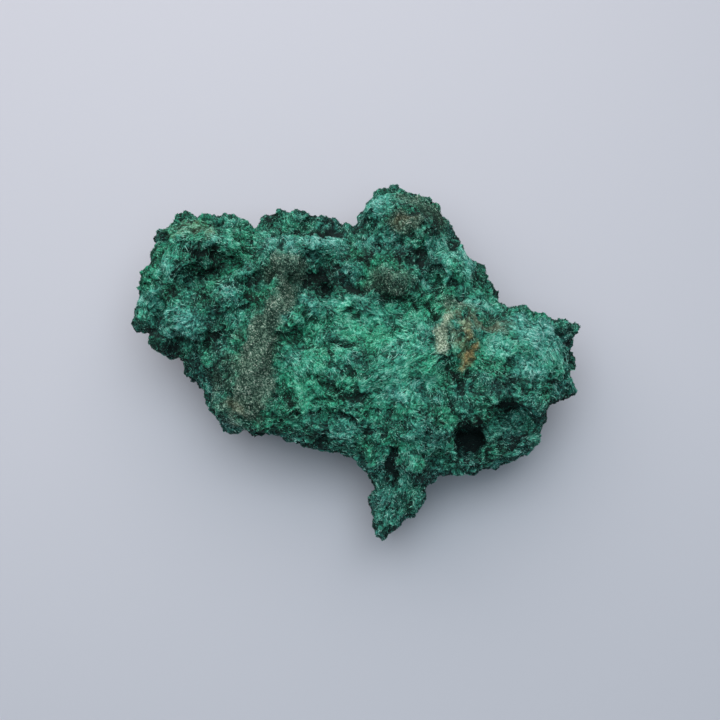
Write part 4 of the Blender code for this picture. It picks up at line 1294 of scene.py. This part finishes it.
# %% Scatter the grains
grains = add("grains", stone.data.copy())
run_tree(grains, grain_tree, Grains_per_Square_Millimetre=25.0, Share_off_the_Crust=0.015,
         Underside_Share=0.3, Grain_Size=0.29 * MM, Seed=11, Material=grain_material)
dressing.append(grains)
print("grains triangles:", triangles(grains))

# %% [markdown]
# ## A flat map for each piece
# Wherever the finished model goes, its patterns have to be painted on flat pictures, and each face needs
# its own place there. A needle is smaller than a picture's dot, so unrolling it is a waste: every needle
# and every grain gets one small square of its own, in rows. The stone is spread like a world map in two
# round halves, its top and its underside.

# %% Helpers for flat maps
def corner_places(mesh):
    """The place of every corner of every face, in millimetres."""
    corners = np.empty(len(mesh.loops), np.int32)
    mesh.loops.foreach_get("vertex_index", corners)
    return vertex_places(mesh)[corners]


def lay_map(mesh, spread):
    """Stores a flat map, one (x, y) from 0 to 1 for each corner of each face."""
    mesh.uv_layers.new(name="OFBake").data.foreach_set("uv", spread.astype(np.float32).ravel())


# %% A square for each needle
SQUARE_EDGE = 0.15            # empty share at each side of a square
SLANT = np.array(((0.8, -0.3), (0.5, 0.7), (-0.3, 0.65)))     # a view in which no face is seen edge on
TINY = 1e-6


def square_map(piece, faces_each):
    """Gives each fibre or grain of a piece its own square in a grid, stretched to fill it."""
    count = len(piece.data.polygons) // faces_each
    seen = (corner_places(piece.data) @ SLANT).reshape(count, -1, 2)
    low = seen.min(axis=1, keepdims=True)
    within = (seen - low) / np.maximum(seen.max(axis=1, keepdims=True) - low, TINY)
    side = math.ceil(math.sqrt(count))
    square = np.stack(np.divmod(np.arange(count), side), axis=1)[:, None, :]
    lay_map(piece.data, (square + SQUARE_EDGE + (1.0 - 2.0 * SQUARE_EDGE) * within) / side)
    print(piece.name, "has", count, "squares")


# %% Two round halves for the stone
DISC = np.array((0.23, 0.46))      # half the width and height of a disc on the map


def world_map(piece):
    """Spreads a lump in two discs side by side, by the direction of each corner from its middle."""
    places = corner_places(piece.data)
    middle = (places.max(axis=0) + places.min(axis=0)) / 2.0
    away = (places - middle) / (places.max(axis=0) - middle)
    away /= np.linalg.norm(away, axis=1)[:, None]
    starts = np.empty(len(piece.data.polygons), np.int32)
    piece.data.polygons.foreach_get("loop_start", starts)
    sides = np.diff(np.append(starts, len(places)))
    top = np.repeat(np.add.reduceat(away[:, 2], starts) > 0.0, sides)
    out = np.sqrt(1.0 - away[:, 2] * np.where(top, 1.0, -1.0))
    flat = away[:, :2] / np.maximum(np.hypot(away[:, 0], away[:, 1]), TINY)[:, None] * out[:, None]
    middles = np.stack([np.where(top, 0.75, 0.25), np.full(len(top), 0.5)], axis=1)
    lay_map(piece.data, middles + DISC * flat)
    print(piece.name, "has", len(starts), "faces on its two discs")


# %% Lay the maps
NEEDLE_FACES = {1: 4, 2: 7}   # by how many joints a needle has
GRAIN_FACES = 8

for nap, (name, sizes) in zip(dressing, NAPS):
    square_map(nap, NEEDLE_FACES[sizes["Joints"]])
square_map(grains, GRAIN_FACES)
world_map(stone)

# %% [markdown]
# ## Attaching the pieces
# Every piece rides on the lump's one body and stands in for its solid.

# %% Attach the pieces
stone.data.materials.clear()
stone.data.materials.append(stone_material)
for face in stone.data.polygons:
    face.use_smooth = True
for piece in (stone, *dressing):
    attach(piece, "root")
    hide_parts("malachite")
